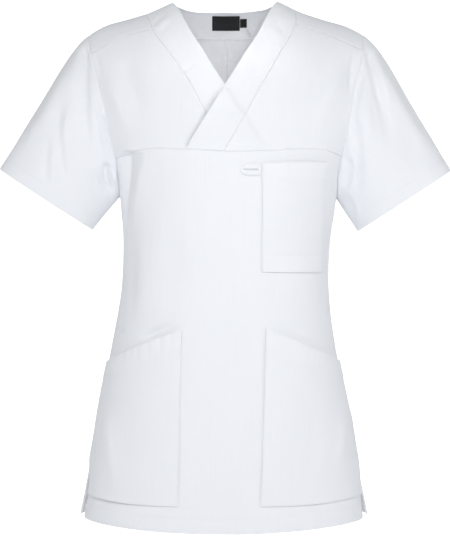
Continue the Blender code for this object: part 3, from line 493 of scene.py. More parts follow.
def place(x, z, sheet):
    """(t, q) of the point of the form that is seen at (x, z), on the front or back sheet."""
    x = x - float(lean_at(z))
    if z < BUST_Z:
        q = station_at(z)
        width = float(half_width_at(z))
    else:
        arch = BACK_ARCH if sheet > 0 else FRONT_ARCH
        top = float(ridge_at(abs(x)))
        fall = min((z - BUST_Z) / (top - BUST_Z), 1) if sheet else 1
        q = math.degrees(math.atan2(other_side(fall, arch), fall)) / 90
        width = float(half_width_at(BUST_Z + (RIDGE_MEAN_Z - BUST_Z) * fall))
    side = min(max(x / width, -1), 1)
    t = math.degrees(math.atan2(side, other_side(side, RING_SQUARENESS)))
    return t, (q if sheet > 0 else -q)


def crease_height(creases, x, z, sheet):
    """Sum of the creases at points seen at (x, z). Each is a bell across a curve with a width for each side,
    and dies out towards its ends."""
    height = np.zeros(np.broadcast(x, z).shape)
    share = np.linspace(0, 1, CREASE_POINTS)
    for crease_sheet, crease in [(key, crease) for key in creases for crease in creases[key]]:
        xs, zs = (parabola(*points, share) for points in zip(crease.start, crease.middle, crease.end))
        near = (
            (x > xs.min() - CREASE_REACH) & (x < xs.max() + CREASE_REACH)
            & (z > zs.min() - CREASE_REACH) & (z < zs.max() + CREASE_REACH) & (sheet == crease_sheet)
        )
        px, pz = x[near], z[near]
        nearest = np.full(px.shape, np.inf)
        along = np.zeros(px.shape)
        greater = np.zeros(px.shape, bool)
        for k in range(CREASE_POINTS - 1):
            dx, dz = xs[k + 1] - xs[k], zs[k + 1] - zs[k]
            u = np.clip(((px - xs[k]) * dx + (pz - zs[k]) * dz) / (dx * dx + dz * dz), 0, 1)
            away_x, away_z = px - xs[k] - u * dx, pz - zs[k] - u * dz
            distance = np.hypot(away_x, away_z)
            closer = distance < nearest
            nearest = np.where(closer, distance, nearest)
            along = np.where(closer, (k + u) / (CREASE_POINTS - 1), along)
            greater = np.where(closer, away_x > 0, greater)
        width = np.where(greater, *crease.widths) * (1 - crease.taper * along)
        flank = np.clip(1 - nearest / (2 * width), 0, 1)
        bell = np.where(greater & crease.crisp, flank, soft_step(flank)) * ((along > 0) & (along < 1))
        ends = soft_step(along / crease.fades[0]) * soft_step((1 - along) / crease.fades[1])
        height[near] += crease.height * bell * ends
    return height


def vent_inset(t, q):
    """How far the front is pulled in beside a side vent: nothing above it, and all of it near the hem."""
    top_q = station_at(VENT_TOP_Z)
    full = np.where(t > 0, VENT_FULL["left"], VENT_FULL["right"])
    down = soft_step((np.abs(q) - top_q) / (2 - top_q) / full)
    near_side = soft_step((np.abs(t) - (90 - VENT_REACH)) / VENT_REACH)
    most = np.where(t > 0, VENT_INSET["left"], VENT_INSET["right"])
    return np.where(q < 0, most * down * near_side, 0)


def cloth_point(t, q, out=0.0):
    """The form with its creases and its vents, moved out by a height."""
    t, q = matched(t, q)
    point = form_point(t, q)
    normal = form_normal(t, q)
    height = crease_height(BODY_CREASES, point[..., 0], point[..., 2], np.where(q > 0, 1, -1))
    point = point + normal * (height + out)[..., None]
    inset = np.sign(t) * vent_inset(t, q)
    return point - np.stack([inset, 0 * inset, 0 * inset], axis=-1)


# ---- seam curves, as rows of (t, q)
def seam_rows(stops, samples):
    placed = np.array([place(*stop) for stop in stops])
    stations = np.arange(len(stops))
    return np.stack([smooth_through(stations, placed[:, k])(samples) for k in (0, 1)], axis=-1)


def armhole_rows(side, samples):
    """Samples from -1 (armpit, by the front) over 0 (ridge) to 1: a straight part at one t, then a quarter
    ellipse in (t, q) round to the side seam."""
    samples = np.asarray(samples, float)
    share = np.abs(samples)
    armpit_q = station_at(ARMPIT_Z)
    over_ridge = soft_step(samples / RIDGE_BLEND + 0.5)
    steep = ARMHOLE_ANGLE["front"] + (ARMHOLE_ANGLE["back"] - ARMHOLE_ANGLE["front"]) * over_ridge
    turn = np.clip((share - ARMHOLE_TURN) / (1 - ARMHOLE_TURN), 0, 1) * np.pi / 2
    t = steep + (90 - steep) * (1 - np.cos(turn))
    q = np.where(
        share < ARMHOLE_TURN,
        ARMHOLE_TURN_Q * share / ARMHOLE_TURN,
        ARMHOLE_TURN_Q + (armpit_q - ARMHOLE_TURN_Q) * np.sin(turn),
    )
    return np.stack([HAND[side] * t, np.where(samples > 0, q, -q)], axis=-1)


def line_rows(seam, xs):
    """A seam seen from the front, smooth through its rows, read at the given x."""
    return np.array([place(x, z, -1) for x, z in zip(xs, curve(seam, "x", "z")(xs))])


def ending_at(rows, first, last):
    """The rows moved so that they start and end at given points, each row by its share of both moves."""
    share = np.linspace(0, 1, len(rows))[:, None]
    return rows + (np.asarray(first) - rows[0]) * (1 - share) + (np.asarray(last) - rows[-1]) * share


def straight_rows(first, last, samples):
    return np.asarray(first) + (np.asarray(last) - np.asarray(first)) * np.asarray(samples)[:, None]


def front_x(t_q):
    return float(form_point(*t_q)[0])


def seen(t_q):
    """Where a point of the form is seen from the front."""
    return Seam(*form_point(*t_q)[[0, 2]])


def whole_chest_seam():
    """The chest seam with its two ends on the armholes."""
    ends = {side: seen(armhole_rows(side, -CHEST_SEAM_AT[side])) for side in SIDES}
    return (ends["right"], *CHEST_SEAM, ends["left"])


def on_chest_seam(stops):
    """Stops of a neckband edge with the first one moved onto the chest seam."""
    level = curve(whole_chest_seam(), "x", "z")(stops[0].x)
    return (stops[0]._replace(z=float(level)), *stops[1:])


def cloth_grain(t, q):
    """Straight grain of a panel: the distance round the body from its centre line, and the distance over it
    from the shoulder ridge, both as sums of short steps on the form."""
    shares = np.linspace(0, 1, 25)[:, None, None]
    round_body = form_point(t[None] * shares, q[None] + 0 * shares)
    over_body = form_point(0.5 * t[None] + 0 * shares, q[None] * shares)
    across = np.linalg.norm(np.diff(round_body, axis=0), axis=-1).sum(axis=0) * np.sign(t)
    down = -np.linalg.norm(np.diff(over_body, axis=0), axis=-1).sum(axis=0)
    return np.stack([across, down], axis=-1)


def patch(bottom, top, inner, outer):
    """A grid of (t, q) between four seams: the sum of both straight blends, less that of the corners."""
    u = np.linspace(0, 1, len(bottom))[None, :, None]
    v = np.linspace(0, 1, len(inner))[:, None, None]
    across = (1 - v) * bottom[None] + v * top[None]
    along = (1 - u) * inner[:, None] + u * outer[:, None]
    corners = (
        (1 - u) * (1 - v) * bottom[0] + u * (1 - v) * bottom[-1] + (1 - u) * v * top[0] + u * v * top[-1]
    )
    return across + along - corners


# ---- grids
def lengths_down(points):
    """Distance along each column from the first row."""
    steps = np.linalg.norm(np.diff(points, axis=0), axis=-1)
    return np.concatenate([np.zeros((1, points.shape[1])), np.cumsum(steps, axis=0)])


def length_along(path):
    """Distance along a path from its first point."""
    return np.concatenate([[0], np.cumsum(np.linalg.norm(np.diff(path, axis=0), axis=-1))])


def read_at(stations, reach, values):
    """Rows of values at stations, where reach holds the stations of the rows given."""
    return np.stack([np.interp(stations, reach, column) for column in values.T], axis=-1)


def spaced(t_q, first=NEAR_EDGE, last=NEAR_EDGE):
    """The grid with its rows at the given distances from the first and last row, and even between them."""
    reach = lengths_down(on_form(t_q))
    total = reach[-1]
    first, last = np.array(first), np.array(last)[::-1]
    middle = max(int(round((total.mean() - first[-1] - last[0]) / STEP)), 1)
    even = np.linspace(0, 1, middle + 1)[1:-1]
    rows = []
    for j in range(t_q.shape[1]):
        fit = min(1, 0.9 * total[j] / (first[-1] + last[0] + 1e-9))
        low, high = first * fit, total[j] - last * fit
        stations = np.concatenate([low, low[-1] + (high[0] - low[-1]) * even, high])
        rows.append(read_at(stations, reach[:, j], t_q[:, j]))
    return np.stack(rows, axis=1)


def spaced_across(t_q, first=NEAR_EDGE):
    return np.swapaxes(spaced(np.swapaxes(t_q, 0, 1), first), 0, 1)


def lines_from(grid, edge):
    """The grid turned so that its first axis runs in from the named edge."""
    turned = grid if edge.endswith("row") else np.swapaxes(grid, 0, 1)
    return turned[::-1] if edge.startswith("last") else turned


def turned_back(lines, edge):
    turned = lines[::-1] if edge.startswith("last") else lines
    return turned if edge.endswith("row") else np.swapaxes(turned, 0, 1)


def reach_from(points, edge):
    """Distance of every point from an edge: the length of its line from there, times the sine of the angle
    between line and edge."""
    lines = lines_from(points, edge)
    tangent = unit(np.gradient(lines[0], axis=0))
    leaving = unit(lines[4] - lines[0])
    sine = np.linalg.norm(np.cross(tangent, leaving), axis=-1)
    return turned_back(lengths_down(lines) * sine, edge)


def along_edge(points, edge):
    """Distance along an edge, the same for every point of a line that runs in from it."""
    lines = lines_from(points, edge)
    return turned_back(np.broadcast_to(length_along(lines[0]), lines.shape[:2]), edge)


def grid_normals(points, outward):
    """Unit normals of a grid of points, on the same side as the given vectors."""
    normal = unit(np.cross(np.gradient(points, axis=1), np.gradient(points, axis=0)))
    return normal * np.sign(np.sum(normal * outward, axis=-1, keepdims=True))


def uneven(along, seed):
    """An irregular wave between about -1 and 1: two sines of unrelated lengths, the first warped by a slower
    one, and both swelling and dying down."""
    base = 2 * np.pi * along / PUCKER_PERIOD
    slow = 0.65 + 0.35 * np.sin(base * 0.173 + seed * 2.1)
    wave = 0.62 * np.sin(base + seed + 1.3 * np.sin(base * 0.21 + seed))
    return slow * (wave + 0.38 * np.sin(base * 1.63 + 4 * seed))


# kind: seam, laid (a seam whose allowance lies under this panel), hem, turned or flat; width: of its doubled
# cloth; stitch: distance of its row of stitches; pucker: height of the small waves along it
Edge = namedtuple("Edge", "line kind width stitch pucker", defaults=(0.0, 0.0, 0.0))


def sewn_down(line, kind, width, pucker):
    """An edge whose doubled cloth is stitched near the end of its strip."""
    return Edge(line, kind, width, width - STITCH_INSET, pucker)


BODY_HEM = sewn_down("last_row", "hem", HEM_WIDTH, 0.22)
SIDE_SEAMS = (Edge("first_column", "seam"), Edge("last_column", "seam"))


def edge_relief(points, edges, seed):
    """Heights and doubled cloth near the edges: a groove at a seam, a step where the doubled cloth ends, a
    rounded rim at a turned edge, and small puckers along the stitching."""
    height = np.zeros(points.shape[:2])
    doubled = np.zeros(points.shape[:2])
    for number, edge in enumerate(edges):
        reach = reach_from(points, edge.line)
        if edge.kind in ("seam", "laid"):
            height -= SEAM_DIP * fade(reach, SEAM_DIP_WIDTH)
        elif edge.kind != "flat":
            height -= 0.5 * LAYER * np.exp(-reach / RIM_ROUND)
        if edge.width:
            strip = soft_step((edge.width + LAYER_END / 2 - reach) / LAYER_END)
            doubled = np.maximum(doubled, strip * (HEM_SHARE if edge.kind == "hem" else 1))
        if edge.stitch:
            height -= STITCH_DIP * fade(reach - edge.stitch, STITCH_DIP_WIDTH)
        if edge.pucker:
            wave = uneven(along_edge(points, edge.line), seed + number)
            height += edge.pucker * wave * fade(reach - max(edge.stitch, 1.0), PUCKER_REACH)
    return height + LAYER * doubled, doubled


# wave number across and up, phase, height: soft unevenness of the whole cloth
Wave = namedtuple("Wave", "across up phase height")
WAVES = (Wave(0.031, 0.012, 0.4, 0.45), Wave(-0.019, 0.041, 2.0, 0.3), Wave(0.058, -0.022, 4.1, 0.2),
         Wave(0.044, 0.061, 5.2, 0.14), Wave(-0.09, 0.035, 1.1, 0.09))


def unevenness(points):
    height = 0
    for wave in WAVES:
        turn = wave.across * (points[..., 0] + points[..., 1]) + wave.up * points[..., 2] + wave.phase
        height = height + wave.height * np.sin(turn)
    return height


# ---- meshes
def mesh_piece(name, points, quads, uv, values, material):
    """An object at the origin from millimetre points and four-cornered faces, with a UV map in metres and a
    point attribute for the doubled cloth."""
    mesh = bpy.data.meshes.new(name)
    mesh.vertices.add(len(points))
    mesh.vertices.foreach_set("co", (points * MM).astype(np.float32).ravel())
    mesh.loops.add(quads.size)
    mesh.loops.foreach_set("vertex_index", quads.astype(np.int32).ravel())
    mesh.polygons.add(len(quads))
    mesh.polygons.foreach_set("loop_start", np.arange(0, quads.size, 4, dtype=np.int32))
    mesh.update(calc_edges=True)
    layer = mesh.uv_layers.new(name="cloth")
    layer.data.foreach_set("uv", (uv[quads.ravel()] * MM).astype(np.float32).ravel())
    attribute = mesh.attributes.new("doubled", "FLOAT", "POINT")
    attribute.data.foreach_set("value", values.astype(np.float32).ravel())
    mesh.shade_smooth()
    mesh.set_sharp_from_angle(angle=math.radians(SHARP_ANGLE))
    mesh.materials.append(material)
    item = bpy.data.objects.new(name, mesh)
    bpy.context.scene.collection.objects.link(item)
    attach(item, "root")
    return item


def wall_faces(rows, columns, tube):
    """Faces of a closed wall between an outer grid and an inner one numbered after it, and round its rim."""
    number = np.arange(rows * columns).reshape(rows, columns)
    if tube:
        number = np.concatenate([number, number[:, :1]], axis=1)
    a, b = number[:-1, :-1], number[:-1, 1:]
    c, d = number[1:, 1:], number[1:, :-1]
    outer = np.stack([a, b, c, d], axis=-1).reshape(-1, 4)
    under = rows * columns
    inner = outer[:, ::-1] + under
    rims = [number[0], number[-1][::-1]]
    if not tube:
        rims = [np.concatenate([number[0], number[1:, -1], number[-1, ::-1][1:], number[::-1, 0][1:]])]
    sides = [np.stack([rim[1:], rim[:-1], rim[:-1] + under, rim[1:] + under], axis=-1) for rim in rims]
    return np.concatenate([outer, inner, *sides])


def pointing_out(points, quads):
    """The faces, turned round unless they point out already: then the volume, as the sum over faces of the
    corner products, is positive."""
    a, b, c, d = (points[quads[:, k]] for k in range(4))
    volume = np.sum(np.einsum("ij,ij->i", a, np.cross(b, c) + np.cross(c, d)))
    return quads if volume > 0 else quads[:, ::-1]


def cloth_piece(name, outer, inner, doubled, material, tube=False, grain=None):
    """A closed wall of cloth. Unless its grain is given, its UV map runs across from the middle column and
    down from the first row."""
    rows, columns = outer.shape[:2]
    points = np.concatenate([outer.reshape(-1, 3), inner.reshape(-1, 3)])
    quads = pointing_out(points, wall_faces(rows, columns, tube))
    if grain is None:
        across = lengths_down(np.swapaxes(outer, 0, 1)).T
        across = across - across[:, columns // 2 : columns // 2 + 1]
        grain = np.stack([across, -lengths_down(outer)], axis=-1)
    uv = np.tile(grain.reshape(-1, 2), (2, 1))
    item = mesh_piece(f"{name}_cloth", points, quads, uv, np.tile(doubled.ravel(), 2), material)
    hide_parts(*STANDS_FOR.get(name, (name,)))


stitch_rows = []


def sew(outer, outward, edge, distance):
    """Notes a row of stitches at a distance from an edge of a grid."""
    lines, normals = lines_from(outer, edge), lines_from(grid_normals(outer, outward), edge)
    reach = lines_from(reach_from(outer, edge), edge)
    j = np.arange(lines.shape[1])
    k = np.clip((reach < distance).sum(axis=0) - 1, 0, len(lines) - 2)
    share = ((distance - reach[k, j]) / np.maximum(reach[k + 1, j] - reach[k, j], 1e-6))[:, None]
    path = lines[k, j] * (1 - share) + lines[k + 1, j] * share
    stitch_rows.append((path, unit(normals[k, j] * (1 - share) + normals[k + 1, j] * share)))


def stitch_template():
    """A spindle of four rings of four points, sunk at its ends, and its fourteen faces."""
    ring = np.array([(0.0, 1.0), (1.0, 0.0), (0.0, -0.6), (-1.0, 0.0)]) * STITCH_WIDTH / 2
    points = np.concatenate([
        [(share * STITCH_LENGTH, w * size, n * size + lift) for w, n in ring]
        for share, size, lift in ((-0.5, 0.25, -0.1), (-0.28, 1.0, 0.1), (0.28, 1.0, 0.1), (0.5, 0.25, -0.1))
    ])
    faces = [
        (4 * i + j, 4 * i + (j + 1) % 4, 4 * i + 4 + (j + 1) % 4, 4 * i + 4 + j)
        for i in range(3) for j in range(4)
    ]
    return points, np.array([*faces, (3, 2, 1, 0), (12, 13, 14, 15)])


def stitch_piece(name, material):
    """Sewing thread: along each noted row, spindles one pitch apart."""
    template, faces = stitch_template()
    points, quads = [], []
    count = 0
    for path, normal in stitch_rows:
        reach = length_along(path)
        total = reach[-1] - 2 * STITCH_TRIM
        number = int(total / STITCH_PITCH)
        if number < 1:
            continue
        at = STITCH_TRIM + (np.arange(number) + 0.5) * total / number
        centre = read_at(at, reach, path)
        up = unit(read_at(at, reach, normal))
        run = unit(read_at(at + 0.8, reach, path) - centre)
        side = unit(np.cross(up, run))
        made = (
            centre[:, None] + run[:, None] * template[None, :, :1] + side[:, None] * template[None, :, 1:2]
            + up[:, None] * template[None, :, 2:]
        )
        points.append(made.reshape(-1, 3))
        numbers = count + np.arange(number) * len(template)
        quads.append((faces[None] + numbers[:, None, None]).reshape(-1, 4))
        count += number * len(template)
    points = np.concatenate(points)
    quads = pointing_out(points, np.concatenate(quads))
    item = mesh_piece(name, points, quads, points[:, :2], np.zeros(len(points)), material)


# ---- panels
def panel(name, t_q, edges, material, wall=CLOTH, seed=1.0, extra=0.0, inside=0.0, along_edges=False):
    """A panel over a grid of (t, q), and its stitching. extra lies above the cloth and inside below it. The
    weave runs with the piece's own edges, or straight down the body."""
    t, q = t_q[..., 0], t_q[..., 1]
    flat = form_point(t, q)
    relief, doubled = edge_relief(flat, edges, seed)
    height = relief + unevenness(flat) + extra
    outer = cloth_point(t, q, height)
    inner = cloth_point(t, q, height - wall - LAYER * doubled - inside)
    for edge in edges:
        if edge.stitch:
            sew(outer, form_normal(t, q), edge.line, edge.stitch)
    cloth_piece(name, outer, inner, doubled, material, grain=None if along_edges else cloth_grain(t, q))


def front_top_rows(samples):
    """The upper edge of the front body: the right armhole, the chest seam, the left armhole."""
    low = {side: armhole_rows(side, np.linspace(-1, -CHEST_SEAM_AT[side], samples)) for side in SIDES}
    xs = np.linspace(front_x(low["right"][-1]), front_x(low["left"][-1]), 5 * samples)
    middle = ending_at(line_rows(whole_chest_seam(), xs), low["right"][-1], low["left"][-1])
    return np.concatenate([low["right"], middle[1:-1], low["left"][::-1]])


def front_body(material):
    """From side seam to side seam below the chest seam: columns of constant t down to the hem."""
    top = front_top_rows(40)
    side, _ = superellipse(top[:, 0], RING_SQUARENESS)
    hem_q = -station_at(HEM_SIDE_Z["front"] - HEM_DROP["front"] * (1 - side**2))
    down = np.linspace(0, 1, 220)[:, None]
    q = top[:, 1] + (hem_q - top[:, 1]) * down
    t_q = np.stack([np.broadcast_to(top[:, 0], q.shape), q], axis=-1)
    t_q = spaced_across(spaced(t_q, last=NEAR_HEM))
    panel("front_body", t_q, (Edge("first_row", "laid"), BODY_HEM, *SIDE_SEAMS), material, seed=1.7)


def upper_front(side, material):
    """Between the chest seam, the neckband, the forward shoulder seam and the armhole."""
    count = 140
    arm = armhole_rows(side, np.linspace(-CHEST_SEAM_AT[side], -SHOULDER_SEAM_AT[side], count))
    band = seam_rows(on_chest_seam(BAND_SEAM[side]), np.linspace(0, SHOULDER_CORNER, count))
    bottom = line_rows(whole_chest_seam(), np.linspace(front_x(band[0]), front_x(arm[0]), count))
    bottom = ending_at(bottom, band[0], arm[0])
    top = shoulder_seam(side, count)
    t_q = spaced_across(spaced(patch(bottom, top, band, arm)))
    edges = (
        Edge("first_row", "seam"),
        Edge("last_row", "seam"),
        Edge("first_column", "seam"),
        Edge("last_column", "laid", ARMHOLE_ALLOWANCE),
    )
    panel(f"upper_front_{side}", t_q, edges, material, extra=crossover(t_q, side), seed=2.3)


def chest_seam_above(point):
    """Height of points over the chest seam."""
    return point[..., 2] - curve(whole_chest_seam(), "x", "z")(point[..., 0])


def past_line(point, first, last):
    """Distance of points past the line from one stop to another, positive on its right-hand side as seen."""
    length = math.hypot(last.x - first.x, last.z - first.z)
    across = (point[..., 0] - first.x) * (last.z - first.z) - (point[..., 2] - first.z) * (last.x - first.x)
    return across / length


def crossover(t_q, side):
    """Heights where the fronts cross: the left one lies on the right band up to the hidden edge of that band,
    and both come together at the chest seam."""
    point = on_form(t_q)
    open_up = soft_step(chest_seam_above(point) / CROSSOVER_OPEN)
    front = np.where(t_q[..., 1] < 0, 1.0, 0.0)
    past_edge = past_line(point, BAND_EDGE["left"][0], BAND_EDGE["left"][2])
    if side == "left":
        hidden = past_line(point, BAND_EDGE["right"][0], BAND_EDGE["right"][2])
        set_in = soft_step((LIP_TOP_Z - point[..., 2]) / CROSSOVER_FADE)
        lip = soft_step((LIP_REACH - np.abs(past_edge)) / LIP_REACH) * set_in * open_up
        lift = CROSSOVER_LIFT[0] + CROSSOVER_LIFT[1] * open_up
        past_step, step_width = HIDDEN_EDGE_STEP
        return front * (lift * soft_step((past_step - hidden) / step_width) + LIP_HEIGHT * lip)
    reach = np.where(past_edge > FALL_PEAK, FALL_REACH["under"], FALL_REACH["past"])
    set_in = soft_step((FALL_TOP_Z - point[..., 2]) / CROSSOVER_FADE)
    behind = soft_step(1 - np.abs(past_edge - FALL_PEAK) / reach) * set_in * open_up
    sink = UNDER_SINK * (1 - open_up) * soft_step(past_edge / UNDER_SINK_WIDTH)
    return -front * (sink + FALL_BEHIND * behind)


def shoulder_seam(side, count):
    """The forward shoulder seam from the neckband to the armhole, seen from the front."""
    corner = seam_rows(BAND_SEAM[side], SHOULDER_CORNER)
    tip = armhole_rows(side, -SHOULDER_SEAM_AT[side])
    line = [seen(corner), *SHOULDER_SEAM[side], seen(tip)]
    return ending_at(line_rows(line, np.linspace(line[0].x, line[-1].x, count)), corner, tip)


def back_panel(side, material):
    """From the forward shoulder seam over the ridge and down the back to the hem."""
    last = len(BAND_SEAM[side]) - 1
    neck = seam_rows(BAND_SEAM[side], np.linspace(SHOULDER_CORNER, last, 97))
    front_arm = armhole_rows(side, np.linspace(-SHOULDER_SEAM_AT[side], 0, 25))
    back_arm = armhole_rows(side, np.linspace(0, 1, 121))
    hem_side_q = station_at(HEM_SIDE_Z["back"])
    hem_centre_q = station_at(HEM_SIDE_Z["back"] - HEM_DROP["back"])
    side_seam = straight_rows(back_arm[-1], (back_arm[-1][0], hem_side_q), np.linspace(0, 1, 121))
    outer = np.concatenate([front_arm, back_arm[1:], side_seam[1:]])
    inner = np.concatenate([neck, straight_rows(neck[-1], (0, hem_centre_q), np.linspace(0, 1, 169))[1:]])
    top = shoulder_seam(side, 90)
    bottom = straight_rows(inner[-1], outer[-1], np.linspace(0, 1, 90))
    lift = np.sin(np.radians(bottom[:, 0])) ** 2
    bottom[:, 1] = hem_centre_q + (hem_side_q - hem_centre_q) * lift
    t_q = spaced_across(spaced(patch(top, bottom, inner, outer), last=NEAR_HEM), first=NEAR_CENTRE_BACK)
    allowance = 0.0
    if side == "left":
        from_centre = on_form(t_q)[..., 0]
        strip = soft_step((ALLOWANCE_WIDTH - from_centre) / ALLOWANCE_END)
        allowance = ALLOWANCE_LAYER * strip * (t_q[..., 1] > 0)
    edges = (Edge("first_row", "flat", SHOULDER_ALLOWANCE), BODY_HEM, *SIDE_SEAMS)
    panel(f"back_{side}", t_q, edges, material, seed=3.1 if side == "left" else 4.4, inside=allowance)


def neckband(side, material):
    """A doubled strip from the chest seam up the front, over the shoulder and round to the centre back."""
    last = len(BAND_SEAM[side]) - 1
    samples = np.linspace(0, last, BAND_GRID[0])
    seam = seam_rows(on_chest_seam(BAND_SEAM[side]), samples)
    edge = seam_rows(on_chest_seam(BAND_EDGE[side]), samples)
    u = np.linspace(0, 1, BAND_GRID[1])[None, :, None]
    t_q = seam[:, None] * (1 - u) + edge[:, None] * u
    foot = line_rows(whole_chest_seam(), np.linspace(front_x(seam[0]), front_x(edge[0]), BAND_GRID[1]))
    move = ending_at(foot, seam[0], edge[0]) - t_q[0]
    t_q = t_q + move[None] * np.exp(-np.linspace(0, BAND_FOOT, BAND_GRID[0]))[:, None, None]
    t_q = spaced(spaced_across(t_q))
    edges = (Edge("first_row", "seam"), Edge("first_column", "seam"), Edge("last_column", "turned"))
    panel(f"neckband_{side}", t_q, edges, material, BAND_CLOTH, 5.2, crossover(t_q, side), along_edges=True)


# ---- sleeves
def cuff_point(side, turn):
    """The cuff is a superellipse. turn is 0 at its outer end, 90 at the front, 180 at the underarm."""
    up, across = superellipse(np.asarray(turn, float) + 90, CUFF_SQUARENESS)
    point = (
        np.array(CUFF_CENTRE[side])
        + CUFF_HALF_WIDTH * up[..., None] * np.array(CUFF_UP)
        + CUFF_HALF_DEPTH * across[..., None] * np.array([0.0, 1.0, 0.0])
    )
    return point * [HAND[side], 1, 1]


def sleeve_surface(side, samples, down):
    """Lines from the armhole seam (down 0) to the cuff (down 1) that bulge at the cap, front and back."""
    rows = armhole_rows(side, samples)
    start = cloth_point(rows[:, 0], rows[:, 1])
    normal = form_normal(rows[:, 0], rows[:, 1])
    share = np.abs(samples)
    turn = np.where(np.asarray(samples) < 0, share * 180, 360 - share * 180)
    end = cuff_point(side, turn)
    top = np.cos(np.radians(turn / 2)) ** 4
    broad = np.sin(np.radians(turn)) ** 2
    d = down[:, None, None]
    cap = CAP_RISE * top[None, :, None] * (d / CAP_PEAK) * np.exp(1 - d / CAP_PEAK)
    full = SLEEVE_FULLNESS * broad[None, :, None] * (d / FULLNESS_PEAK) * np.exp(1 - d / FULLNESS_PEAK)
    forward = np.stack([0 * turn, np.where(turn < 180, -1.0, 1.0), 0 * turn], axis=-1)
    return start * (1 - d) + end * d + normal * cap + forward * full * (1 - d)


def sleeve(side, material):
    """A tube set into the armhole, its seam under the arm."""
    samples = np.concatenate([np.linspace(0, -1, 95), np.linspace(1, 0, 95)[1:-1]])
    down = np.concatenate([
        np.array(NEAR_EDGE) / SLEEVE_LENGTH,
        np.linspace(NEAR_EDGE[-1], SLEEVE_LENGTH - NEAR_CUFF[0], 62)[1:-1] / SLEEVE_LENGTH,
        1 - np.array(NEAR_CUFF) / SLEEVE_LENGTH,
    ])
    grid = sleeve_surface(side, samples, down)
    closed = np.concatenate([grid[:, -1:], grid, grid[:, :1]], axis=1)
    normal = unit(np.cross(np.gradient(closed, axis=1), np.gradient(closed, axis=0)))[:, 1:-1] * HAND[side]
    front = np.where(normal[..., 1] < 0, -1, 1)
    free = soft_step(down / FOLD_FREE)[:, None]
    hem = sewn_down("last_row", "hem", SLEEVE_HEM_WIDTH, 0.2)
    relief, doubled = edge_relief(grid, (Edge("first_row", "laid"), hem), 6.1 if side == "left" else 7.3)
    creases = crease_height(SLEEVE_CREASES, grid[..., 0], grid[..., 2], front)
    height = creases * free + relief + unevenness(grid) * free
    rows = armhole_rows(side, samples)
    body_normal = form_normal(rows[:, 0], rows[:, 1])
    leaving = unit(grid[3] - grid[0])
    valley = soft_step(np.sum(leaving * body_normal, axis=-1) / SEAM_VALLEY)[:, None]
    near = np.exp(-down * SLEEVE_LENGTH / RIM_TURN)[:, None, None]
    first = unit(body_normal * (1 - valley) + normal[0] * valley)
    inward = unit(normal * (1 - near) + first[None] * near)
    shared = np.exp(-down * SLEEVE_LENGTH / RELIEF_TURN)[:, None, None]
    outer = grid + unit(normal * (1 - shared) + body_normal[None] * shared) * height[..., None]
    inner = outer - inward * (CLOTH + LAYER * doubled)[..., None]
    sew(outer, normal, hem.line, hem.stitch)
    cloth_piece(f"sleeve_{side}", outer, inner, doubled, material, tube=True)


# ---- what is sewn on
def station_on(edge, t):
    """Station where the column at angle t meets an edge that is seen from the front."""
    level = curve(edge, "x", "z")
    x, q = edge[0].x, 0.0
    for _ in range(8):
        q = place(x, float(level(x)), -1)[1]
        x = front_x((t, q))
    return q


def pocket_grid(outline, to_side_seam):
    """(t, q) of a patch pocket: straight blends between its top and bottom edges."""
    top, bottom = outline["top"], outline["bottom"]
    hand = 1 if top[0].x > 0 else -1
    rows = []
    for edge in (top, bottom):
        if to_side_seam:
            t = hand * POCKET_SIDE_ANGLE
            last = (t, station_on(edge, t))
            x_last = front_x(last)
        else:
            x_last = edge[-1].x
        row = line_rows(edge, np.linspace(edge[0].x, x_last, 120))
        if to_side_seam:
            row[-1] = last
        rows.append(row)
    down = np.linspace(0, 1, 120)[:, None, None]
    return spaced_across(spaced(rows[0][None] * (1 - down) + rows[1][None] * down, first=NEAR_HEM))


def fullness(t_q, stand_off, spare):
    """Height of a pocket: it stands off all over, and is fuller in the middle and towards its mouth. spare
    rows beyond the grid keep some of that at its foot."""
    rows, columns = t_q.shape[:2]
    across = np.sin(np.pi * np.linspace(0, 1, columns))[None, :]
    up = np.sin(np.pi / 2 * np.linspace(1, 0, rows + spare)[:rows])[:, None]
    return stand_off + POCKET_FULLNESS * across * up**0.7


def hip_pocket(side, material):
    t_q = pocket_grid(HIP_POCKET[side], True)
    extra = fullness(t_q, HIP_STAND_OFF, 1)
    if side == "right":
        point, corner = on_form(t_q), LIFTED_CORNER
        away_x = (point[..., 0] - corner.x) / corner.reach_x
        away_z = (point[..., 2] - corner.z) / corner.reach_z
        extra = extra + corner.lift * np.exp(-(away_x**2) - away_z**2)
    edges = (
        sewn_down("first_row", "turned", MOUTH_HEM_WIDTH, 0.2),
        Edge("last_row", "turned", 0.0, POCKET_STITCH, 0.1),
        Edge("first_column", "turned", 0.0, POCKET_STITCH, 0.1),
        Edge("last_column", "seam"),
    )
    panel(f"hip_pocket_{side}", t_q, edges, material, extra=extra, wall=POCKET_CLOTH, seed=8.1)


def chest_pocket(material):
    t_q = pocket_grid(CHEST_POCKET, False)
    edges = (
        sewn_down("first_row", "turned", MOUTH_HEM_WIDTH, 0.15),
        Edge("last_row", "turned", CHEST_STEP_WIDTH, CHEST_STEP_WIDTH + STITCH_INSET, 0.15),
        Edge("first_column", "turned", 0.0, POCKET_STITCH, 0.1),
        Edge("last_column", "turned", 0.0, POCKET_STITCH, 0.1),
    )
    extra = fullness(t_q, CHEST_STAND_OFF, 0)
    panel("chest_pocket", t_q, edges, material, extra=extra, wall=POCKET_CLOTH, seed=9.4)


def tape(name, t_q, outer, inner, material, tube=False):
    """A wall of tape between two heights over the cloth."""
    t, q = t_q[..., 0], t_q[..., 1]
    cloth_piece(name, cloth_point(t, q, outer), cloth_point(t, q, inner), np.zeros(t.shape), material, tube)


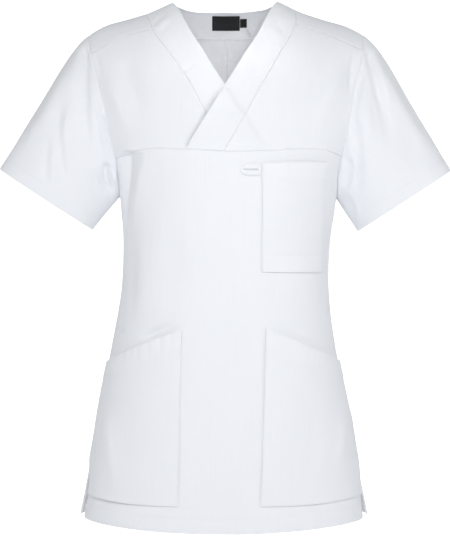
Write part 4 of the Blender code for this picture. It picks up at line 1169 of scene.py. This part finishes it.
def label(name, material):
    """A woven label on the inside of the neckband, at the centre back."""
    first, last, foot = LABELS[name]
    across = np.linspace(0, 1, 40)
    down = np.linspace(0, 1, 24)[:, None]
    x = first.x + (last.x - first.x) * across
    z = first.z + (last.z - first.z) * across + (foot.z - first.z) * down
    t_q = np.array([[place(a, b, 1) for a, b in zip(x, row)] for row in z])
    base = -BAND_CLOTH - LABEL_GAP
    tape(name, t_q, base, base - LABEL_CLOTH, material)


def pen_loop(material):
    """A short folded tape with a slit: rings between the slit and the outline, pointed at its inner end."""
    turns = np.radians(np.arange(0, 360, 5))
    squareness = np.where(np.cos(turns) < 0, 2.2, 5.0)
    side, across = superellipse(np.degrees(turns) + 90, squareness)
    shares = np.linspace(0, 1, 9)
    sizes = [PEN_LOOP_SLIT + (PEN_LOOP_HALF - PEN_LOOP_SLIT) * share for share in shares]
    x, z = PEN_LOOP_CENTRE
    t_q = np.array([
        [place(x + width * s, z + height * c, -1) for s, c in zip(side, across)] for width, height in sizes
    ])
    puff = PEN_LOOP_FULLNESS * np.sin(np.pi * shares)[:, None]
    tape("pen_loop", t_q, PEN_LOOP_STAND_OFF + puff, PEN_LOOP_UNDERSIDE, material, tube=True)


# ---- materials
TWILL_COLOUR = (0.895, 0.915, 0.950, 1)
DOUBLED_COLOUR = (0.905, 0.925, 0.960, 1)
WEAVE_DEPTH = 0.00008
RIB_PITCH = 1.0


def feed(tree, socket, value):
    """Sets an input socket to a value, or links it to another node's output."""
    if isinstance(value, bpy.types.NodeSocket):
        tree.links.new(value, socket)
    else:
        socket.default_value = value


def add_node(tree, kind, inputs=(), **settings):
    """A shader node with its settings, and its inputs by name, each a value or another node's output."""
    node = tree.nodes.new(f"ShaderNode{kind}")
    for name, value in settings.items():
        setattr(node, name, value)
    for name, value in dict(inputs).items():
        feed(tree, node.inputs[name], value)
    return node


def cloth_weave():
    """Node group: ribs and slubs of a fine twill from a UV map in millimetres. Puts out height and tone."""
    tree = bpy.data.node_groups.new("twill weave", "ShaderNodeTree")
    for name, way, kind in (
        ("Place", "INPUT", "Vector"), ("Rib pitch", "INPUT", "Float"),
        ("Height", "OUTPUT", "Float"), ("Tone", "OUTPUT", "Float"),
    ):
        tree.interface.new_socket(name, in_out=way, socket_type=f"NodeSocket{kind}")
    start, end = tree.nodes.new("NodeGroupInput"), tree.nodes.new("NodeGroupOutput")
    uv, pitch = start.outputs["Place"], start.outputs["Rib pitch"]

    def reckon(kind, *values):
        node = add_node(tree, "Math", operation=kind)
        for socket, value in zip(node.inputs, values):
            feed(tree, socket, value)
        return node.outputs[0]

    axes = add_node(tree, "SeparateXYZ", {"Vector": uv})
    turns_x = reckon("DIVIDE", axes.outputs["X"], pitch)
    turns_y = reckon("DIVIDE", axes.outputs["Y"], reckon("MULTIPLY", pitch, 0.6))
    rib = reckon("SINE", reckon("MULTIPLY", turns_x, 2 * math.pi))
    twill = reckon("SINE", reckon("MULTIPLY", reckon("ADD", turns_x, turns_y), 2 * math.pi))
    stretch = add_node(tree, "Mapping", {"Scale": (0.8, 0.012, 1.0), "Vector": uv})
    slub = add_node(tree, "TexNoise", {"Scale": 1.0, "Detail": 3.0, "Vector": stretch.outputs[0]}).outputs[0]
    fine = reckon("ADD", reckon("MULTIPLY", rib, 0.5), reckon("MULTIPLY", twill, 0.35))
    feed(tree, end.inputs["Height"], reckon("ADD", fine, reckon("MULTIPLY", slub, 1.2)))
    feed(tree, end.inputs["Tone"], slub)
    return tree


def new_material(name, inputs):
    """A material whose shader has the given inputs, and its node tree."""
    material = bpy.data.materials.new(name)
    material.use_nodes = True
    set_shader(material.node_tree, inputs)
    return material, material.node_tree


def set_shader(tree, inputs):
    for name, value in inputs.items():
        feed(tree, tree.nodes["Principled BSDF"].inputs[name], value)


def plain_material(name, colour, roughness):
    return new_material(name, {"Base Color": (*colour, 1), "Roughness": roughness})[0]


def twill_material(name, weave):
    """White cotton and polyester twill: ribs and slubs, lighter where it lies double."""
    material, tree = new_material(
        name, {"Roughness": 0.85, "Specular IOR Level": 0.25, "Sheen Weight": 0.08, "Sheen Roughness": 0.5}
    )
    uv = add_node(tree, "UVMap", uv_map="cloth").outputs[0]
    millimetres = add_node(tree, "Mapping", {"Scale": (1000, 1000, 1000), "Vector": uv}).outputs[0]
    pattern = add_node(tree, "Group", node_tree=weave)
    feed(tree, pattern.inputs["Rib pitch"], RIB_PITCH)
    feed(tree, pattern.inputs["Place"], millimetres)
    doubled = add_node(tree, "Attribute", attribute_name="doubled").outputs["Fac"]
    layers = add_node(
        tree, "Mix", {"A": TWILL_COLOUR, "B": DOUBLED_COLOUR, "Factor": doubled}, data_type="RGBA"
    )
    tone = add_node(tree, "MapRange", {
        "From Min": 0.3, "From Max": 0.7, "To Min": 0.985, "To Max": 1.006, "Value": pattern.outputs["Tone"],
    })
    shade = add_node(
        tree, "VectorMath", {"Vector": layers.outputs["Result"], "Scale": tone.outputs[0]}, operation="SCALE"
    )
    bump = add_node(tree, "Bump", {
        "Distance": WEAVE_DEPTH, "Strength": 0.6, "Height": pattern.outputs["Height"],
    })
    set_shader(tree, {"Base Color": shade.outputs[0], "Normal": bump.outputs[0]})
    return material


# ---- studio
# where, size and aim in metres, power in watts, spread in degrees
Light = namedtuple("Light", "name where size power aim spread", defaults=((0, 0, -0.35), 180))
LIGHTS = (
    Light("high front light", (0, -2.4, 1.3), (1.4, 1.4), 8.0),
    Light("front light", (0.1, -1.5, 0.1), (0.8, 0.8), 9.0),
    Light("side light", (2.2, -1.2, -0.1), (1.2, 1.6), 9.5),
    Light("fill light", (-2.2, -1.2, -0.1), (1.2, 1.6), 8.5),
    Light("neck light", (0.02, -1.6, 0.02), (0.12, 0.12), 0.016, (0, 0.02, -0.05), 7),
)
WORLD_COLOUR = (0.97, 0.98, 1.0, 1)
WORLD_STRENGTH = 0.30
WALL_GLOW = 1.0  # the wall behind shines a little, the floor hardly
FLOOR_GLOW = 0.06
GLOW_FROM_Y, GLOW_TO_Y = 0.9, 2.5
FLOOR_Z, FLOOR_END_Y = -1.15, -7.0
WALL_Y, WALL_TOP_Z = 5.2, 4.5
BEND_RADIUS = 1.5
BACKDROP_HALF_WIDTH = 6.0
CAMERA = (0, -2.5, -0.3724)
VIEW_HEIGHT = 0.7504  # what the picture's height covers in the plane y = 0
SENSOR_MM = 36.0


def backdrop():
    """A seamless pale sweep: floor, quarter-round bend and wall."""
    angle = np.linspace(0, math.pi / 2, 17)
    centre_y, centre_z = WALL_Y - BEND_RADIUS, FLOOR_Z + BEND_RADIUS
    y = np.concatenate([[FLOOR_END_Y], centre_y + BEND_RADIUS * np.sin(angle), [WALL_Y]])
    z = np.concatenate([[FLOOR_Z], centre_z - BEND_RADIUS * np.cos(angle), [WALL_TOP_Z]])
    xs = np.array([-BACKDROP_HALF_WIDTH, BACKDROP_HALF_WIDTH])
    points = np.stack([np.tile(xs, len(y)), np.repeat(y, 2), np.repeat(z, 2)], axis=-1)
    k = np.arange(len(y) - 1) * 2
    quads = np.stack([k, k + 1, k + 3, k + 2], axis=-1)
    mesh = bpy.data.meshes.new("floor")
    mesh.from_pydata(points.tolist(), [], quads.tolist())
    mesh.shade_smooth()
    item = bpy.data.objects.new("floor", mesh)
    bpy.context.scene.collection.objects.link(item)
    material = plain_material("pale floor", (0.93, 0.93, 0.93), 0.9)
    tree = material.node_tree
    axes = add_node(tree, "SeparateXYZ", {"Vector": add_node(tree, "TexCoord").outputs["Object"]})
    ends = {"From Min": GLOW_FROM_Y, "From Max": GLOW_TO_Y, "To Min": FLOOR_GLOW, "To Max": WALL_GLOW}
    glow = add_node(tree, "MapRange", {**ends, "Value": axes.outputs["Y"]}, interpolation_type="SMOOTHSTEP")
    set_shader(tree, {"Emission Color": (1, 1, 1, 1), "Emission Strength": glow.outputs[0]})
    mesh.materials.append(material)


def studio():
    """The backdrop, the lights, a pale sky and the camera."""
    scene = bpy.context.scene
    backdrop()
    for light in LIGHTS:
        lamp = bpy.data.lights.new(light.name, "AREA")
        lamp.shape = "RECTANGLE"
        lamp.size, lamp.size_y = light.size
        lamp.energy = light.power
        lamp.spread = math.radians(light.spread)
        item = bpy.data.objects.new(light.name, lamp)
        item.location = light.where
        item.rotation_euler = (Vector(light.aim) - Vector(light.where)).to_track_quat("-Z", "Y").to_euler()
        scene.collection.objects.link(item)
    world = bpy.data.worlds.new("studio")
    world.use_nodes = True
    world.node_tree.nodes["Background"].inputs["Color"].default_value = WORLD_COLOUR
    world.node_tree.nodes["Background"].inputs["Strength"].default_value = WORLD_STRENGTH
    scene.world = world
    scene.view_settings.view_transform = "Standard"

    camera = bpy.data.cameras.new("camera")
    camera.sensor_fit = "VERTICAL"
    camera.sensor_height = SENSOR_MM
    camera.lens = SENSOR_MM * -CAMERA[1] / VIEW_HEIGHT
    viewer = bpy.data.objects.new("camera", camera)
    viewer.location = CAMERA
    viewer.rotation_euler = (math.pi / 2, 0, 0)
    scene.collection.objects.link(viewer)
    scene.camera = viewer


# ---- the tunic
def build():
    studio()
    twill = twill_material("white twill", cloth_weave())
    thread = plain_material("white thread", (0.82, 0.83, 0.85), 0.6)
    black = plain_material("black woven tape", (0.004, 0.004, 0.005), 0.6)
    front_body(twill)
    for side in SIDES:
        upper_front(side, twill)
        neckband(side, twill)
        back_panel(side, twill)
        sleeve(side, twill)
        hip_pocket(side, twill)
    chest_pocket(twill)
    pen_loop(twill)
    for name in LABELS:
        label(name, black)
    stitch_piece("stitching", thread)


build()
